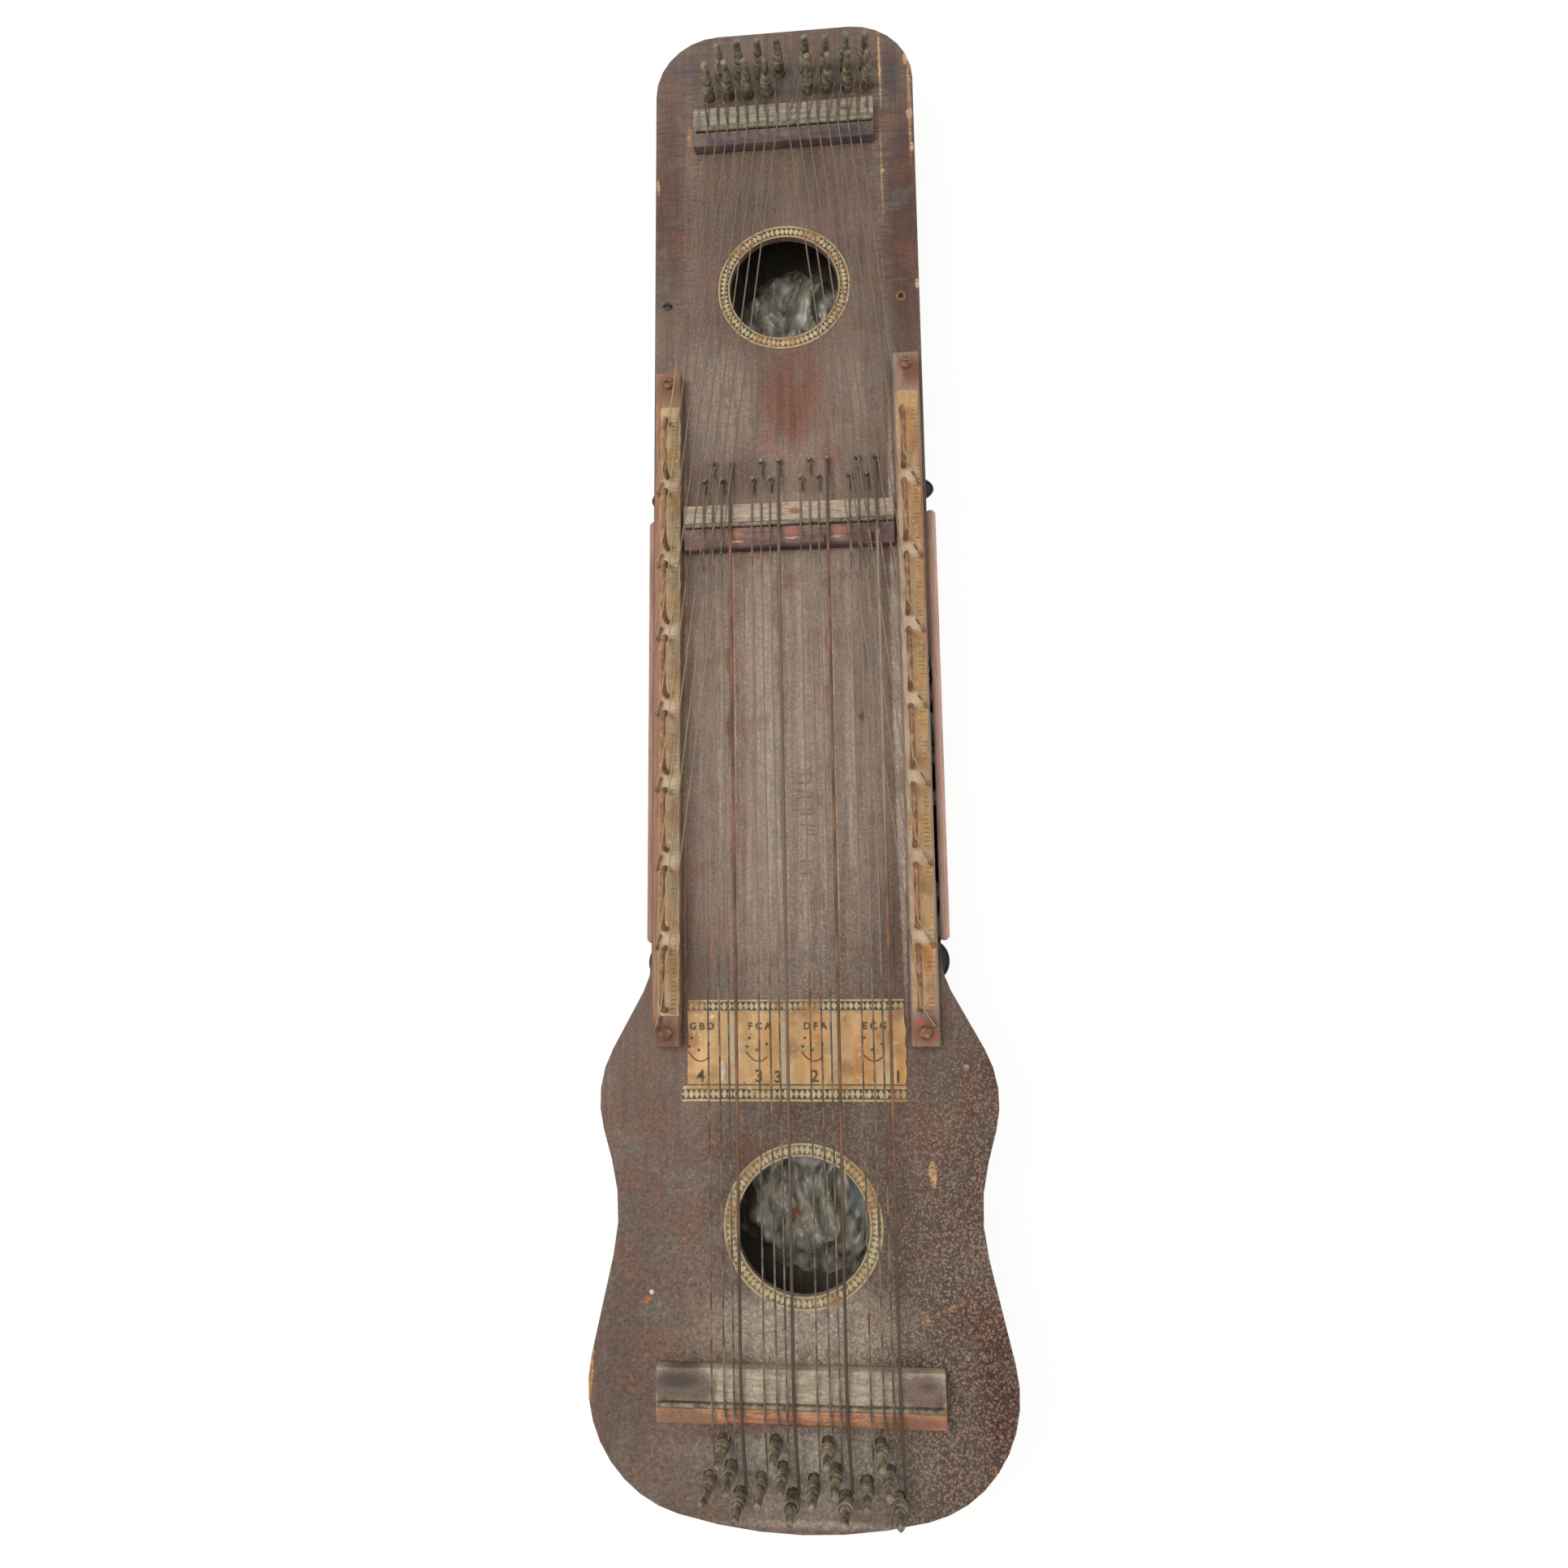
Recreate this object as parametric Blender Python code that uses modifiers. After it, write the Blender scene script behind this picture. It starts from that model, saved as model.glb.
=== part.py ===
"""Ukelin: a bowed zither with a waisted sound box, sixteen melody strings and four chord groups.

It lies on its back, face up. X runs across it, Y runs towards the narrow head end, and Z is up.
The origin is under the middle of the box, on the surface that the box lies on. Metres.
"""

import math

import bmesh
import bpy
from mathutils import Matrix, Vector

# Sound box
BODY_LENGTH = 0.686
BODY_DEPTH = 0.038
NECK_WIDTH = 0.127
UPPER_BOUT_WIDTH = 0.1716
WAIST_WIDTH = 0.1545
LOWER_BOUT_WIDTH = 0.1788
HEAD_CORNER_RADIUS = 0.031
SHOULDER_RADIUS = 0.0287
UPPER_BOUT_RADIUS = 0.0444
WAIST_RADIUS = 0.078
LOWER_BOUT_RADIUS = 0.0505
TAIL_RADIUS = 0.2097
SHOULDER_FROM_TAIL = 0.2304
UPPER_BOUT_FROM_TAIL = 0.1709
WAIST_FROM_TAIL = 0.124
TOP_THICKNESS = 0.003
BACK_THICKNESS = 0.003
SIDE_THICKNESS = 0.004
HEAD_BLOCK_LENGTH = 0.045
TAIL_BLOCK_LENGTH = 0.055

# Sound holes
UPPER_HOLE_RADIUS = 0.026
UPPER_HOLE_X = -0.001
UPPER_HOLE_FROM_HEAD = 0.1377
LOWER_HOLE_RADIUS = 0.028
LOWER_HOLE_X = 0.002
LOWER_HOLE_FROM_TAIL = 0.1193

# Braces under the face
HITCH_BLOCK_LENGTH = 0.05
HITCH_BLOCK_DEPTH = 0.012
TOP_BRACE_FROM_TAIL = 0.159
TOP_BRACE_LENGTH = 0.012
TOP_BRACE_DEPTH = 0.014
BRACE_END_GAP = 0.002

# Bridges, each with a gentle slope towards the head and a steeper one towards the tail
BRIDGE_CREST = 0.007
BRIDGE_HEAD_EDGE = 0.0055
BRIDGE_TAIL_EDGE = 0.0045
UPPER_BRIDGE_LENGTH = 0.0875
UPPER_BRIDGE_FROM_HEAD = 0.0577
UPPER_BRIDGE_HEAD_SIDE = 0.0131
UPPER_BRIDGE_TAIL_SIDE = 0.0066
MIDDLE_BRIDGE_LENGTH = 0.0966
MIDDLE_BRIDGE_Y = 0.0838
MIDDLE_BRIDGE_HEAD_SIDE = 0.0107
MIDDLE_BRIDGE_TAIL_SIDE = 0.0103
LOWER_BRIDGE_LENGTH = 0.1185
LOWER_BRIDGE_FROM_TAIL = 0.0515
LOWER_BRIDGE_HEAD_SIDE = 0.0135
LOWER_BRIDGE_TAIL_SIDE = 0.0084
SADDLE_WIRE_RADIUS = 0.001
SADDLE_OVERHANG = -0.001

# Rails, with a wire arch and a hitch pin for each melody string of that side
RAIL_X = 0.0555
RAIL_WIDTH = 0.012
RAIL_HEIGHT = 0.007
LEFT_RAIL_HEAD_END = 0.1603
RIGHT_RAIL_HEAD_END = 0.1643
RAIL_TAIL_END = -0.1492
RAIL_EDGE_ROUND = 0.0006
ARCHES_PER_RAIL = 8
FIRST_ARCH_Y = 0.1213
ARCH_PITCH = 0.0345
ARCH_SPAN = 0.0264
ARCH_HEIGHT = 0.01
ARCH_CORNER = 0.006
ARCH_WIRE_RADIUS = 0.0009
RAIL_PIN_FROM_EDGE = 0.0017
RAIL_PIN_PAST_ARCH = 0.008
RAIL_SCREW_FROM_END = 0.0058
RAIL_PAPER_WIDTH = 0.004
RAIL_PAPER_END = 0.0095

# Hitch pins, plain round nails
HITCH_PIN_RADIUS = 0.0009
HITCH_PIN_HEIGHT = 0.004
HITCH_PIN_DEPTH = 0.002
HITCH_STRING_HEIGHT = 0.002
RAIL_PIN_HEIGHT = 0.003
RAIL_STRING_HEIGHT = 0.0016

# Tuning pins, pressed into the blocks and square at the top
PIN_RADIUS = 0.00225
PIN_HEIGHT = 0.02
PIN_DEPTH = 0.018
PIN_HEAD_HEIGHT = 0.008
PIN_HEAD_BASE = 0.0022
PIN_HEAD_TOP = 0.0019
PIN_SIDES = 10
WINDING_HEIGHT = 0.005
WINDING_TURNS = 2
WINDING_CLEARANCE = 0.00005
WINDING_STEPS = 8
WINDING_TURN_GAP = 0.00055
LEAST_TURN_GAP = 0.0004

# Melody strings and their pins, two rows behind the upper bridge
MELODY_STRINGS = 16
MELODY_PITCH = 0.00483
MELODY_PIN_PITCH = 0.0096
LEFT_PINS_X = -0.0366
RIGHT_PINS_X = 0.0126
LEFT_ROW_SHIFT = 0.0062
RIGHT_ROW_SHIFT = -0.001
NEAR_ROW_FROM_HEAD = 0.0337
FAR_ROW_FROM_HEAD = 0.0234

# Chord strings: groups of three plain strings and one wound bass string
CHORD_GROUPS = 4
CHORD_GROUP_PITCH = 0.0215
CHORD_CENTRE_X = 0.00205
CHORD_STRING_OFFSETS = (-0.0054, -0.00025, 0.0037, 0.0065)
CHORD_PIN_OFFSETS = (-0.0076, -0.0016, 0.0013, 0.005)
CHORD_PINS_FROM_TAIL = (0.021, 0.0353, 0.0253, 0.0153)
HITCH_GROUP_PITCH = 0.0224
HITCH_CENTRE_X = 0.0007
HITCH_OFFSETS = (-0.0061, -0.002, 0.0021, 0.0062)
HITCH_NEAR_ROW = 0.024
HITCH_ROW_STEP = 0.0085
PLAIN_STRING_RADIUS = 0.0003
BASS_STRING_RADIUS = 0.0006

# Paper chart on the face
CHART_WIDTH = 0.094
CHART_LENGTH = 0.0422
CHART_HEAD_END = -0.1304
PAPER_THICKNESS = 0.0003

# Wood strips on the neck's sides, and the wire loops past their ends
STRIP_HEAD_END = 0.0963
STRIP_FROM_SHOULDER = 0.0069
STRIP_THICKNESS = 0.005
STRIP_HEIGHT = 0.012
STRIP_BELOW_FACE = 0.013
STRIP_ROUND = 0.0015
HEAD_LOOP_PAST_STRIP = 0.0125
HEAD_LOOP_HALF_SPAN = 0.0045
TAIL_LOOP_PAST_STRIP = 0.0085
TAIL_LOOP_HALF_SPAN = 0.007
LOOP_REACH = 0.0036
LOOP_WEB = 0.0008
LOOP_WIRE_RADIUS = 0.0009
LOOP_STEPS = 6

# Rail screws, round-headed and slotted
SCREW_HEAD_RADIUS = 0.003
SCREW_HEAD_HEIGHT = 0.0019
SCREW_SHANK_RADIUS = 0.0013
SCREW_DEPTH = 0.0055
SCREW_SLOT_WIDTH = 0.0008
SCREW_DOME_STEPS = 3
SCREW_SLOT_DEPTH = 0.0009

# Fits and facets
SEAT_GAP = 0.0003
TURNING_GAP = 0.0003
FUSE_DEPTH = 0.0001
WELD_DISTANCE = 0.00001
ARC_SAG = 0.0002
HOLE_SIDES = 8
SOUND_HOLE_SIDES = 24
ROD_SIDES = 8
WIRE_SIDES = 6
WIRE_RESOLUTION = 1
SCREW_SIDES = 12
SMOOTH_ANGLE = math.radians(40)

# Finishes: linear red, green and blue, roughness, metallic
FINISHES = {
    "stained_wood": ((0.13, 0.075, 0.055), 0.55, 0.0),
    "bare_wood": ((0.42, 0.28, 0.18), 0.7, 0.0),
    "rail_wood": ((0.4, 0.22, 0.13), 0.6, 0.0),
    "bridge_wood": ((0.33, 0.25, 0.19), 0.65, 0.0),
    "strip_wood": ((0.3, 0.13, 0.08), 0.5, 0.0),
    "pin_steel": ((0.12, 0.11, 0.09), 0.5, 0.9),
    "string_steel": ((0.2, 0.17, 0.14), 0.45, 0.9),
    "rail_paper": ((0.55, 0.44, 0.26), 0.9, 0.0),
    "chart_paper": ((0.6, 0.4, 0.2), 0.9, 0.0),
    "black_wire": ((0.02, 0.02, 0.02), 0.5, 0.6),
    "screw_steel": ((0.3, 0.26, 0.2), 0.5, 0.9),
}

# Lines and levels that follow from the sizes
HEAD_Y = BODY_LENGTH / 2
TAIL_Y = -BODY_LENGTH / 2
FACE_Z = BODY_DEPTH
INSIDE_TOP = FACE_Z - TOP_THICKNESS - SEAT_GAP
INSIDE_BOTTOM = BACK_THICKNESS + SEAT_GAP
RAIL_TOP = FACE_Z + SEAT_GAP + RAIL_HEIGHT
CREST_Z = FACE_Z + SEAT_GAP + BRIDGE_CREST
UPPER_BRIDGE_Y = HEAD_Y - UPPER_BRIDGE_FROM_HEAD
LOWER_BRIDGE_Y = TAIL_Y + LOWER_BRIDGE_FROM_TAIL
HITCH_NEAR_Y = MIDDLE_BRIDGE_Y + HITCH_NEAR_ROW
HITCH_FAR_Y = HITCH_NEAR_Y + HITCH_ROW_STEP
STRIP_TAIL_END = TAIL_Y + SHOULDER_FROM_TAIL + STRIP_FROM_SHOULDER


def make_collection(name, hidden=False):
    collection = bpy.data.collections.new(name)
    bpy.context.scene.collection.children.link(collection)
    collection.hide_render = hidden
    return collection


for old in list(bpy.data.objects):
    bpy.data.objects.remove(old)
PARTS = make_collection("ukelin")
CUTTERS = make_collection("cutters", hidden=True)


def new_object(name, data, collection=PARTS):
    made = bpy.data.objects.new(name, data)
    collection.objects.link(made)
    if collection is CUTTERS:
        made.hide_render = True
        made.display_type = "WIRE"
    return made


def mesh_object(name, bm, collection=PARTS):
    """An object from a bmesh, which is freed."""
    mesh = bpy.data.meshes.new(name)
    bm.to_mesh(mesh)
    bm.free()
    return new_object(name, mesh, collection)


def finish(made, finish_name, smooth=False):
    """Gives a piece its own Principled material, and smooth shading where it is round."""
    colour, roughness, metallic = FINISHES[finish_name]
    material = bpy.data.materials.new(made.name)
    material.use_nodes = True
    shader = material.node_tree.nodes["Principled BSDF"]
    shader.inputs["Base Color"].default_value = (*colour, 1.0)
    shader.inputs["Roughness"].default_value = roughness
    shader.inputs["Metallic"].default_value = metallic
    made.data.materials.clear()
    made.data.materials.append(material)
    if smooth:
        made.data.shade_smooth()
        made.data.set_sharp_from_angle(angle=SMOOTH_ANGLE)
    return made


def as_mesh(source, collection=PARTS):
    """Turns a curve, or an object with modifiers, into a welded mesh, which can be cut and joined."""
    name = source.name
    bpy.context.view_layer.update()
    graph = bpy.context.evaluated_depsgraph_get()
    mesh = bpy.data.meshes.new_from_object(source.evaluated_get(graph))
    mesh.transform(source.matrix_world)
    bpy.data.objects.remove(source)
    mesh.name = name
    bm = bmesh.new()
    bm.from_mesh(mesh)
    bmesh.ops.remove_doubles(bm, verts=bm.verts, dist=WELD_DISTANCE)
    bmesh.ops.recalc_face_normals(bm, faces=bm.faces)
    bm.to_mesh(mesh)
    bm.free()
    return new_object(name, mesh, collection)


def flat_curve(name, outlines, thickness):
    """A filled 2D curve of closed outlines. An outline inside another is a hole."""
    curve = bpy.data.curves.new(name, "CURVE")
    curve.dimensions = "2D"
    curve.fill_mode = "BOTH"
    curve.extrude = thickness / 2
    for outline in outlines:
        spline = curve.splines.new("POLY")
        spline.points.add(len(outline) - 1)
        for point, (x, y) in zip(spline.points, outline):
            point.co = (x, y, 0.0, 1.0)
        spline.use_cyclic_u = True
    return new_object(name, curve)


def plate(name, outlines, z_low, thickness, collection=PARTS):
    """A flat piece that lies level, with its underside at z_low."""
    made = flat_curve(name, outlines, thickness)
    made.location.z = z_low + thickness / 2
    return as_mesh(made, collection)


def moulding(name, profile, length):
    """A bar along X with one cross-section, given as (y, z) points."""
    made = flat_curve(name, [profile], length)
    made.rotation_euler = (math.pi / 2, 0.0, math.pi / 2)
    return as_mesh(made)


def box(name, low, high, collection=PARTS):
    """A block between two corners."""
    low, high = Vector(low), Vector(high)
    size = high - low
    place = Matrix.Translation((low + high) / 2) @ Matrix.Diagonal((*size, 1.0))
    bm = bmesh.new()
    bmesh.ops.create_cube(bm, size=1.0, matrix=place)
    return mesh_object(name, bm, collection)


def rods(name, ends, radius, sides=ROD_SIDES, collection=CUTTERS):
    """Straight round rods, each between two points, as one mesh of separate bodies."""
    bm = bmesh.new()
    for start, end in ends:
        start, end = Vector(start), Vector(end)
        along = end - start
        turned = along.to_track_quat("Z", "Y").to_matrix().to_4x4()
        bmesh.ops.create_cone(
            bm,
            cap_ends=True,
            segments=sides,
            radius1=radius,
            radius2=radius,
            depth=along.length,
            matrix=Matrix.Translation((start + end) / 2) @ turned,
        )
    return mesh_object(name, bm, collection)


def wires(name, routes, resolution, collection=CUTTERS):
    """Round wires, each a (radius, points) pair, as one mesh of separate bodies."""
    bm = bmesh.new()
    for radius, points in routes:
        curve = bpy.data.curves.new(name, "CURVE")
        curve.dimensions = "3D"
        curve.bevel_depth = radius
        curve.bevel_resolution = resolution
        curve.use_fill_caps = True
        spline = curve.splines.new("POLY")
        spline.points.add(len(points) - 1)
        for place, point in zip(spline.points, points):
            place.co = (*point, 1.0)
        strand = as_mesh(new_object(name + "_strand", curve))
        bm.from_mesh(strand.data)
        bpy.data.objects.remove(strand)
    return mesh_object(name, bm, collection)


def boolean(target, operand, operation):
    modifier = target.modifiers.new(operand.name, "BOOLEAN")
    modifier.operation = operation
    modifier.object = operand
    modifier.solver = "EXACT"


def bevel(target, width, segments):
    modifier = target.modifiers.new("rounded_edges", "BEVEL")
    modifier.width = width
    modifier.segments = segments


def circle(x, y, radius, sides):
    """A many-sided hole whose flats, not its corners, are at the radius."""
    reach = radius / math.cos(math.pi / sides)
    turns = [2 * math.pi * (step + 0.5) / sides for step in range(sides)]
    return [(x + reach * math.cos(turn), y + reach * math.sin(turn)) for turn in turns]


def belt(wheels, first_heading, last_heading):
    """The line that runs round a row of wheels as a belt does: arcs, and the straights between.

    A wheel is (x, y, radius, side). Side is 1 where the line bulges round the wheel, -1 where it
    bends in. The line heads along first_heading where it comes in, in radians from +X.
    """
    headings = [first_heading]
    for here, there in zip(wheels, wheels[1:]):
        across, along = there[0] - here[0], there[1] - here[1]
        turn = (here[3] * here[2] - there[3] * there[2]) / math.hypot(across, along)
        heading = math.atan2(along, across) - math.asin(max(-1.0, min(1.0, turn)))
        headings.append(headings[-1] + math.remainder(heading - headings[-1], math.tau))
    headings.append(last_heading)
    points = []
    for (x, y, radius, side), come, leave in zip(wheels, headings, headings[1:]):
        steps = max(1, round(abs(leave - come) / (2 * math.acos(1 - ARC_SAG / radius))))
        for step in range(steps + 1):
            heading = come + (leave - come) * step / steps
            reach = side * radius
            point = (x - reach * math.sin(heading), y + reach * math.cos(heading))
            if not points or math.dist(points[-1], point) > WELD_DISTANCE:
                points.append(point)
    return points


def half_outline(inset=0.0):
    """The right half of the box's outline, from the head corner round to the middle of the tail.

    With an inset it is the same line that far inside, as on the inner face of a side.
    """
    tail_centre = TAIL_Y + TAIL_RADIUS
    bout_x = LOWER_BOUT_WIDTH / 2 - LOWER_BOUT_RADIUS
    bout_drop = math.sqrt((TAIL_RADIUS - LOWER_BOUT_RADIUS) ** 2 - bout_x**2)
    wheels = (
        (NECK_WIDTH / 2 - HEAD_CORNER_RADIUS, HEAD_Y - HEAD_CORNER_RADIUS, HEAD_CORNER_RADIUS, 1),
        (NECK_WIDTH / 2 + SHOULDER_RADIUS, TAIL_Y + SHOULDER_FROM_TAIL, SHOULDER_RADIUS, -1),
        (UPPER_BOUT_WIDTH / 2 - UPPER_BOUT_RADIUS, TAIL_Y + UPPER_BOUT_FROM_TAIL, UPPER_BOUT_RADIUS, 1),
        (WAIST_WIDTH / 2 + WAIST_RADIUS, TAIL_Y + WAIST_FROM_TAIL, WAIST_RADIUS, -1),
        (bout_x, tail_centre - bout_drop, LOWER_BOUT_RADIUS, 1),
        (0.0, tail_centre, TAIL_RADIUS, 1),
    )
    moved = [(x, y, radius - side * inset, side) for x, y, radius, side in wheels]
    return belt(moved, 0.0, -math.pi)


def mirrored(points):
    """The same points on the left, in the opposite order."""
    return [(-x, y) for x, y in reversed(points) if x > WELD_DISTANCE]


def between(points, y_high, y_low):
    """The stretch of a line from y_high down to y_low, with an end point on each level."""
    kept = []
    for (x, y), (next_x, next_y) in zip(points, points[1:]):
        for level in (y_high, y_low):
            if next_y < level < y:
                share = (y - level) / (y - next_y)
                kept.append((x + share * (next_x - x), level))
        if y_low < next_y < y_high:
            kept.append((next_x, next_y))
    return kept


def half_width(y, inset=0.0):
    """The outline's half width at a level."""
    for (x, high), (next_x, low) in zip(half_outline(inset), half_outline(inset)[1:]):
        if low <= y <= high:
            return x + (next_x - x) * (high - y) / max(high - low, WELD_DISTANCE)
    return 0.0


def pin_holes(name, places, low, high):
    """Cutters for holes that tuning pins turn in. The holes' flats, not their corners, clear the pin."""
    reach = (PIN_RADIUS + SEAT_GAP) / math.cos(math.pi / HOLE_SIDES)
    return rods(name, [((*place, low), (*place, high)) for place in places], reach, HOLE_SIDES)


def melody_pins():
    """Each melody string's pin, from left to right: its place, and the string's X at the bridge.

    A far-row string passes on the left of the near-row pin that it clears, so on the left side
    the near pin comes first, and on the right side the far pin does.
    """
    near_y, far_y = HEAD_Y - NEAR_ROW_FROM_HEAD, HEAD_Y - FAR_ROW_FROM_HEAD
    pins = []
    for string in range(MELODY_STRINGS):
        on_left = string < MELODY_STRINGS // 2
        column, second = divmod(string % (MELODY_STRINGS // 2), 2)
        x = (LEFT_PINS_X if on_left else RIGHT_PINS_X) + column * MELODY_PIN_PITCH
        shift = LEFT_ROW_SHIFT if on_left else RIGHT_ROW_SHIFT
        near = second != on_left
        bridge_x = (string - (MELODY_STRINGS - 1) / 2) * MELODY_PITCH
        pins.append(((x, near_y) if near else (x + shift, far_y), bridge_x))
    return pins


def chord_strings():
    """Each chord string from left to right: its hitch pin, its X at the bridge, its pin, its radius."""
    strings = []
    for group in range(CHORD_GROUPS):
        step = group - (CHORD_GROUPS - 1) / 2
        hitch_x = HITCH_CENTRE_X + step * HITCH_GROUP_PITCH
        bridge_x = CHORD_CENTRE_X + step * CHORD_GROUP_PITCH
        for place in range(len(CHORD_STRING_OFFSETS)):
            bass = place == len(CHORD_STRING_OFFSETS) - 1
            hitch_y = HITCH_FAR_Y if place % 2 else HITCH_NEAR_Y
            pin = (bridge_x + CHORD_PIN_OFFSETS[place], TAIL_Y + CHORD_PINS_FROM_TAIL[place])
            strings.append(
                (
                    (hitch_x + HITCH_OFFSETS[place], hitch_y),
                    bridge_x + CHORD_STRING_OFFSETS[place],
                    pin,
                    BASS_STRING_RADIUS if bass else PLAIN_STRING_RADIUS,
                )
            )
    return strings


def arch_centre(index):
    return FIRST_ARCH_Y - index * ARCH_PITCH


def saddle_height(string_radius):
    """Where a string's middle passes over a saddle wire, just deep enough in it to be one solid."""
    wire_top = CREST_Z + SEAT_GAP + SADDLE_WIRE_RADIUS * math.cos(math.pi / ROD_SIDES)
    return wire_top + string_radius * math.cos(math.pi / WIRE_SIDES) - FUSE_DEPTH


def winding_reach(string_radius):
    """How far the corners of a wound string's path are from its pin's axis, its chords clearing it."""
    return (PIN_RADIUS + WINDING_CLEARANCE + string_radius) / math.cos(math.pi / WINDING_STEPS)


def winding_points(string_radius):
    """The string on a pin at the origin: out of the pin, round it going down, and off along +Y."""
    reach = winding_reach(string_radius)
    pitch = 2 * string_radius + WINDING_TURN_GAP
    steps = round(WINDING_TURNS * WINDING_STEPS)
    top = WINDING_HEIGHT + WINDING_TURNS * pitch
    first_turn = -WINDING_TURNS * math.tau
    inner = PIN_RADIUS / 2
    points = [(inner * math.cos(first_turn), inner * math.sin(first_turn), top)]
    for step in range(steps + 1):
        turn = first_turn * (1 - step / steps)
        level = top - WINDING_TURNS * pitch * step / steps
        points.append((reach * math.cos(turn), reach * math.sin(turn), level))
    points.append((reach, 2 * string_radius, WINDING_HEIGHT))
    return points


def least_gap(points, radius, apart):
    """The least clear space between stretches of one tube that are a given count of points apart."""
    dense = []
    for start, end in zip(points, points[1:]):
        dense += [Vector(start).lerp(Vector(end), share / 4) for share in range(4)]
    gaps = [
        (second - first).length
        for here, first in enumerate(dense)
        for second in dense[here + 4 * apart :]
    ]
    return min(gaps) - 2 * radius


def string_start(string_radius):
    """How far along its run a string starts, so that the turning winding's end passes clear of it."""
    reach = winding_reach(string_radius)
    swept = math.hypot(reach + string_radius, 2 * string_radius) + TURNING_GAP
    return math.sqrt(swept**2 - (reach - string_radius) ** 2)


def pin_turn(pin, target, string_radius):
    """The pin's angle about Z at which its string runs off straight towards the target."""
    across, along = target[0] - pin[0], target[1] - pin[1]
    off_axis = math.asin(winding_reach(string_radius) / math.hypot(across, along))
    return math.atan2(-across, along) + off_axis


def leaving_point(pin, target, string_radius):
    """Where the string's own solid starts beside its pin."""
    turn = pin_turn(pin, target, string_radius)
    reach, start = winding_reach(string_radius), string_start(string_radius)
    x = pin[0] + reach * math.cos(turn) - start * math.sin(turn)
    y = pin[1] + reach * math.sin(turn) + start * math.cos(turn)
    return (x, y, FACE_Z + WINDING_HEIGHT)


def rail_pin(side, index):
    """The hitch pin of one arch's string, at the rail's outer edge past the arch's tail foot."""
    x = side * (RAIL_X + RAIL_WIDTH / 2 - RAIL_PIN_FROM_EDGE)
    return (x, arch_centre(index) - ARCH_SPAN / 2 - RAIL_PIN_PAST_ARCH)


def make_back_board():
    right = half_outline()
    made = plate("back_board", [right + mirrored(right)], 0.0, BACK_THICKNESS)
    finish(made, "stained_wood")


def make_sound_board():
    """The face: two sound holes, a hole for each tuning pin, and the chord hitch pins driven in."""
    right = half_outline()
    chords = chord_strings()
    places = [pin for pin, _ in melody_pins()] + [pin for _, _, pin, _ in chords]
    outlines = [right + mirrored(right)]
    outlines.append(
        circle(UPPER_HOLE_X, HEAD_Y - UPPER_HOLE_FROM_HEAD, UPPER_HOLE_RADIUS, SOUND_HOLE_SIDES)
    )
    outlines.append(
        circle(LOWER_HOLE_X, TAIL_Y + LOWER_HOLE_FROM_TAIL, LOWER_HOLE_RADIUS, SOUND_HOLE_SIDES)
    )
    made = plate("sound_board", outlines, FACE_Z - TOP_THICKNESS, TOP_THICKNESS)
    holes = pin_holes("sound_board_holes", places, FACE_Z - 2 * TOP_THICKNESS, FACE_Z + TOP_THICKNESS)
    boolean(made, holes, "DIFFERENCE")
    low, high = FACE_Z - HITCH_PIN_DEPTH, FACE_Z + HITCH_PIN_HEIGHT
    ends = [((*hitch, low), (*hitch, high)) for hitch, *_ in chords]
    boolean(made, rods("chord_hitch_pins", ends, HITCH_PIN_RADIUS, WIRE_SIDES), "UNION")
    finish(made, "stained_wood")


def make_sides():
    """The two bent side walls, between the blocks, with a hole for each foot of the wire loops."""
    high = HEAD_Y - HEAD_BLOCK_LENGTH - SEAT_GAP
    low = TAIL_Y + TAIL_BLOCK_LENGTH + SEAT_GAP
    outer = between(half_outline(), high, low)
    inner = between(half_outline(SIDE_THICKNESS), high, low)
    right = outer + inner[::-1]
    for name, side in (("side_left", -1), ("side_right", 1)):
        outline = [(side * x, y) for x, y in right]
        made = plate(name, [outline], INSIDE_BOTTOM, INSIDE_TOP - INSIDE_BOTTOM)
        ends = []
        for x, y, z in loop_feet(1) + loop_feet(-1):
            ends.append(((side * (x - 2 * SIDE_THICKNESS), y, z), (side * (x + SIDE_THICKNESS), y, z)))
        boolean(made, rods(name + "_holes", ends, LOOP_WIRE_RADIUS + SEAT_GAP), "DIFFERENCE")
        finish(made, "stained_wood")


def make_blocks():
    """The solid wood blocks that close the box's ends and hold the tuning pins."""
    head = between([(0.0, HEAD_Y)] + half_outline(), HEAD_Y + 1.0, HEAD_Y - HEAD_BLOCK_LENGTH)
    tail = between(half_outline(), TAIL_Y + TAIL_BLOCK_LENGTH, TAIL_Y - 1.0)
    blocks = (
        ("head_block", head, [pin for pin, _ in melody_pins()]),
        ("tail_block", tail, [pin for _, _, pin, _ in chord_strings()]),
    )
    low, high = FACE_Z - PIN_DEPTH - SEAT_GAP, FACE_Z
    for name, right, pins in blocks:
        made = plate(name, [right + mirrored(right)], INSIDE_BOTTOM, INSIDE_TOP - INSIDE_BOTTOM)
        boolean(made, pin_holes(name + "_holes", pins, low, high), "DIFFERENCE")
        finish(made, "bare_wood")


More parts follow.
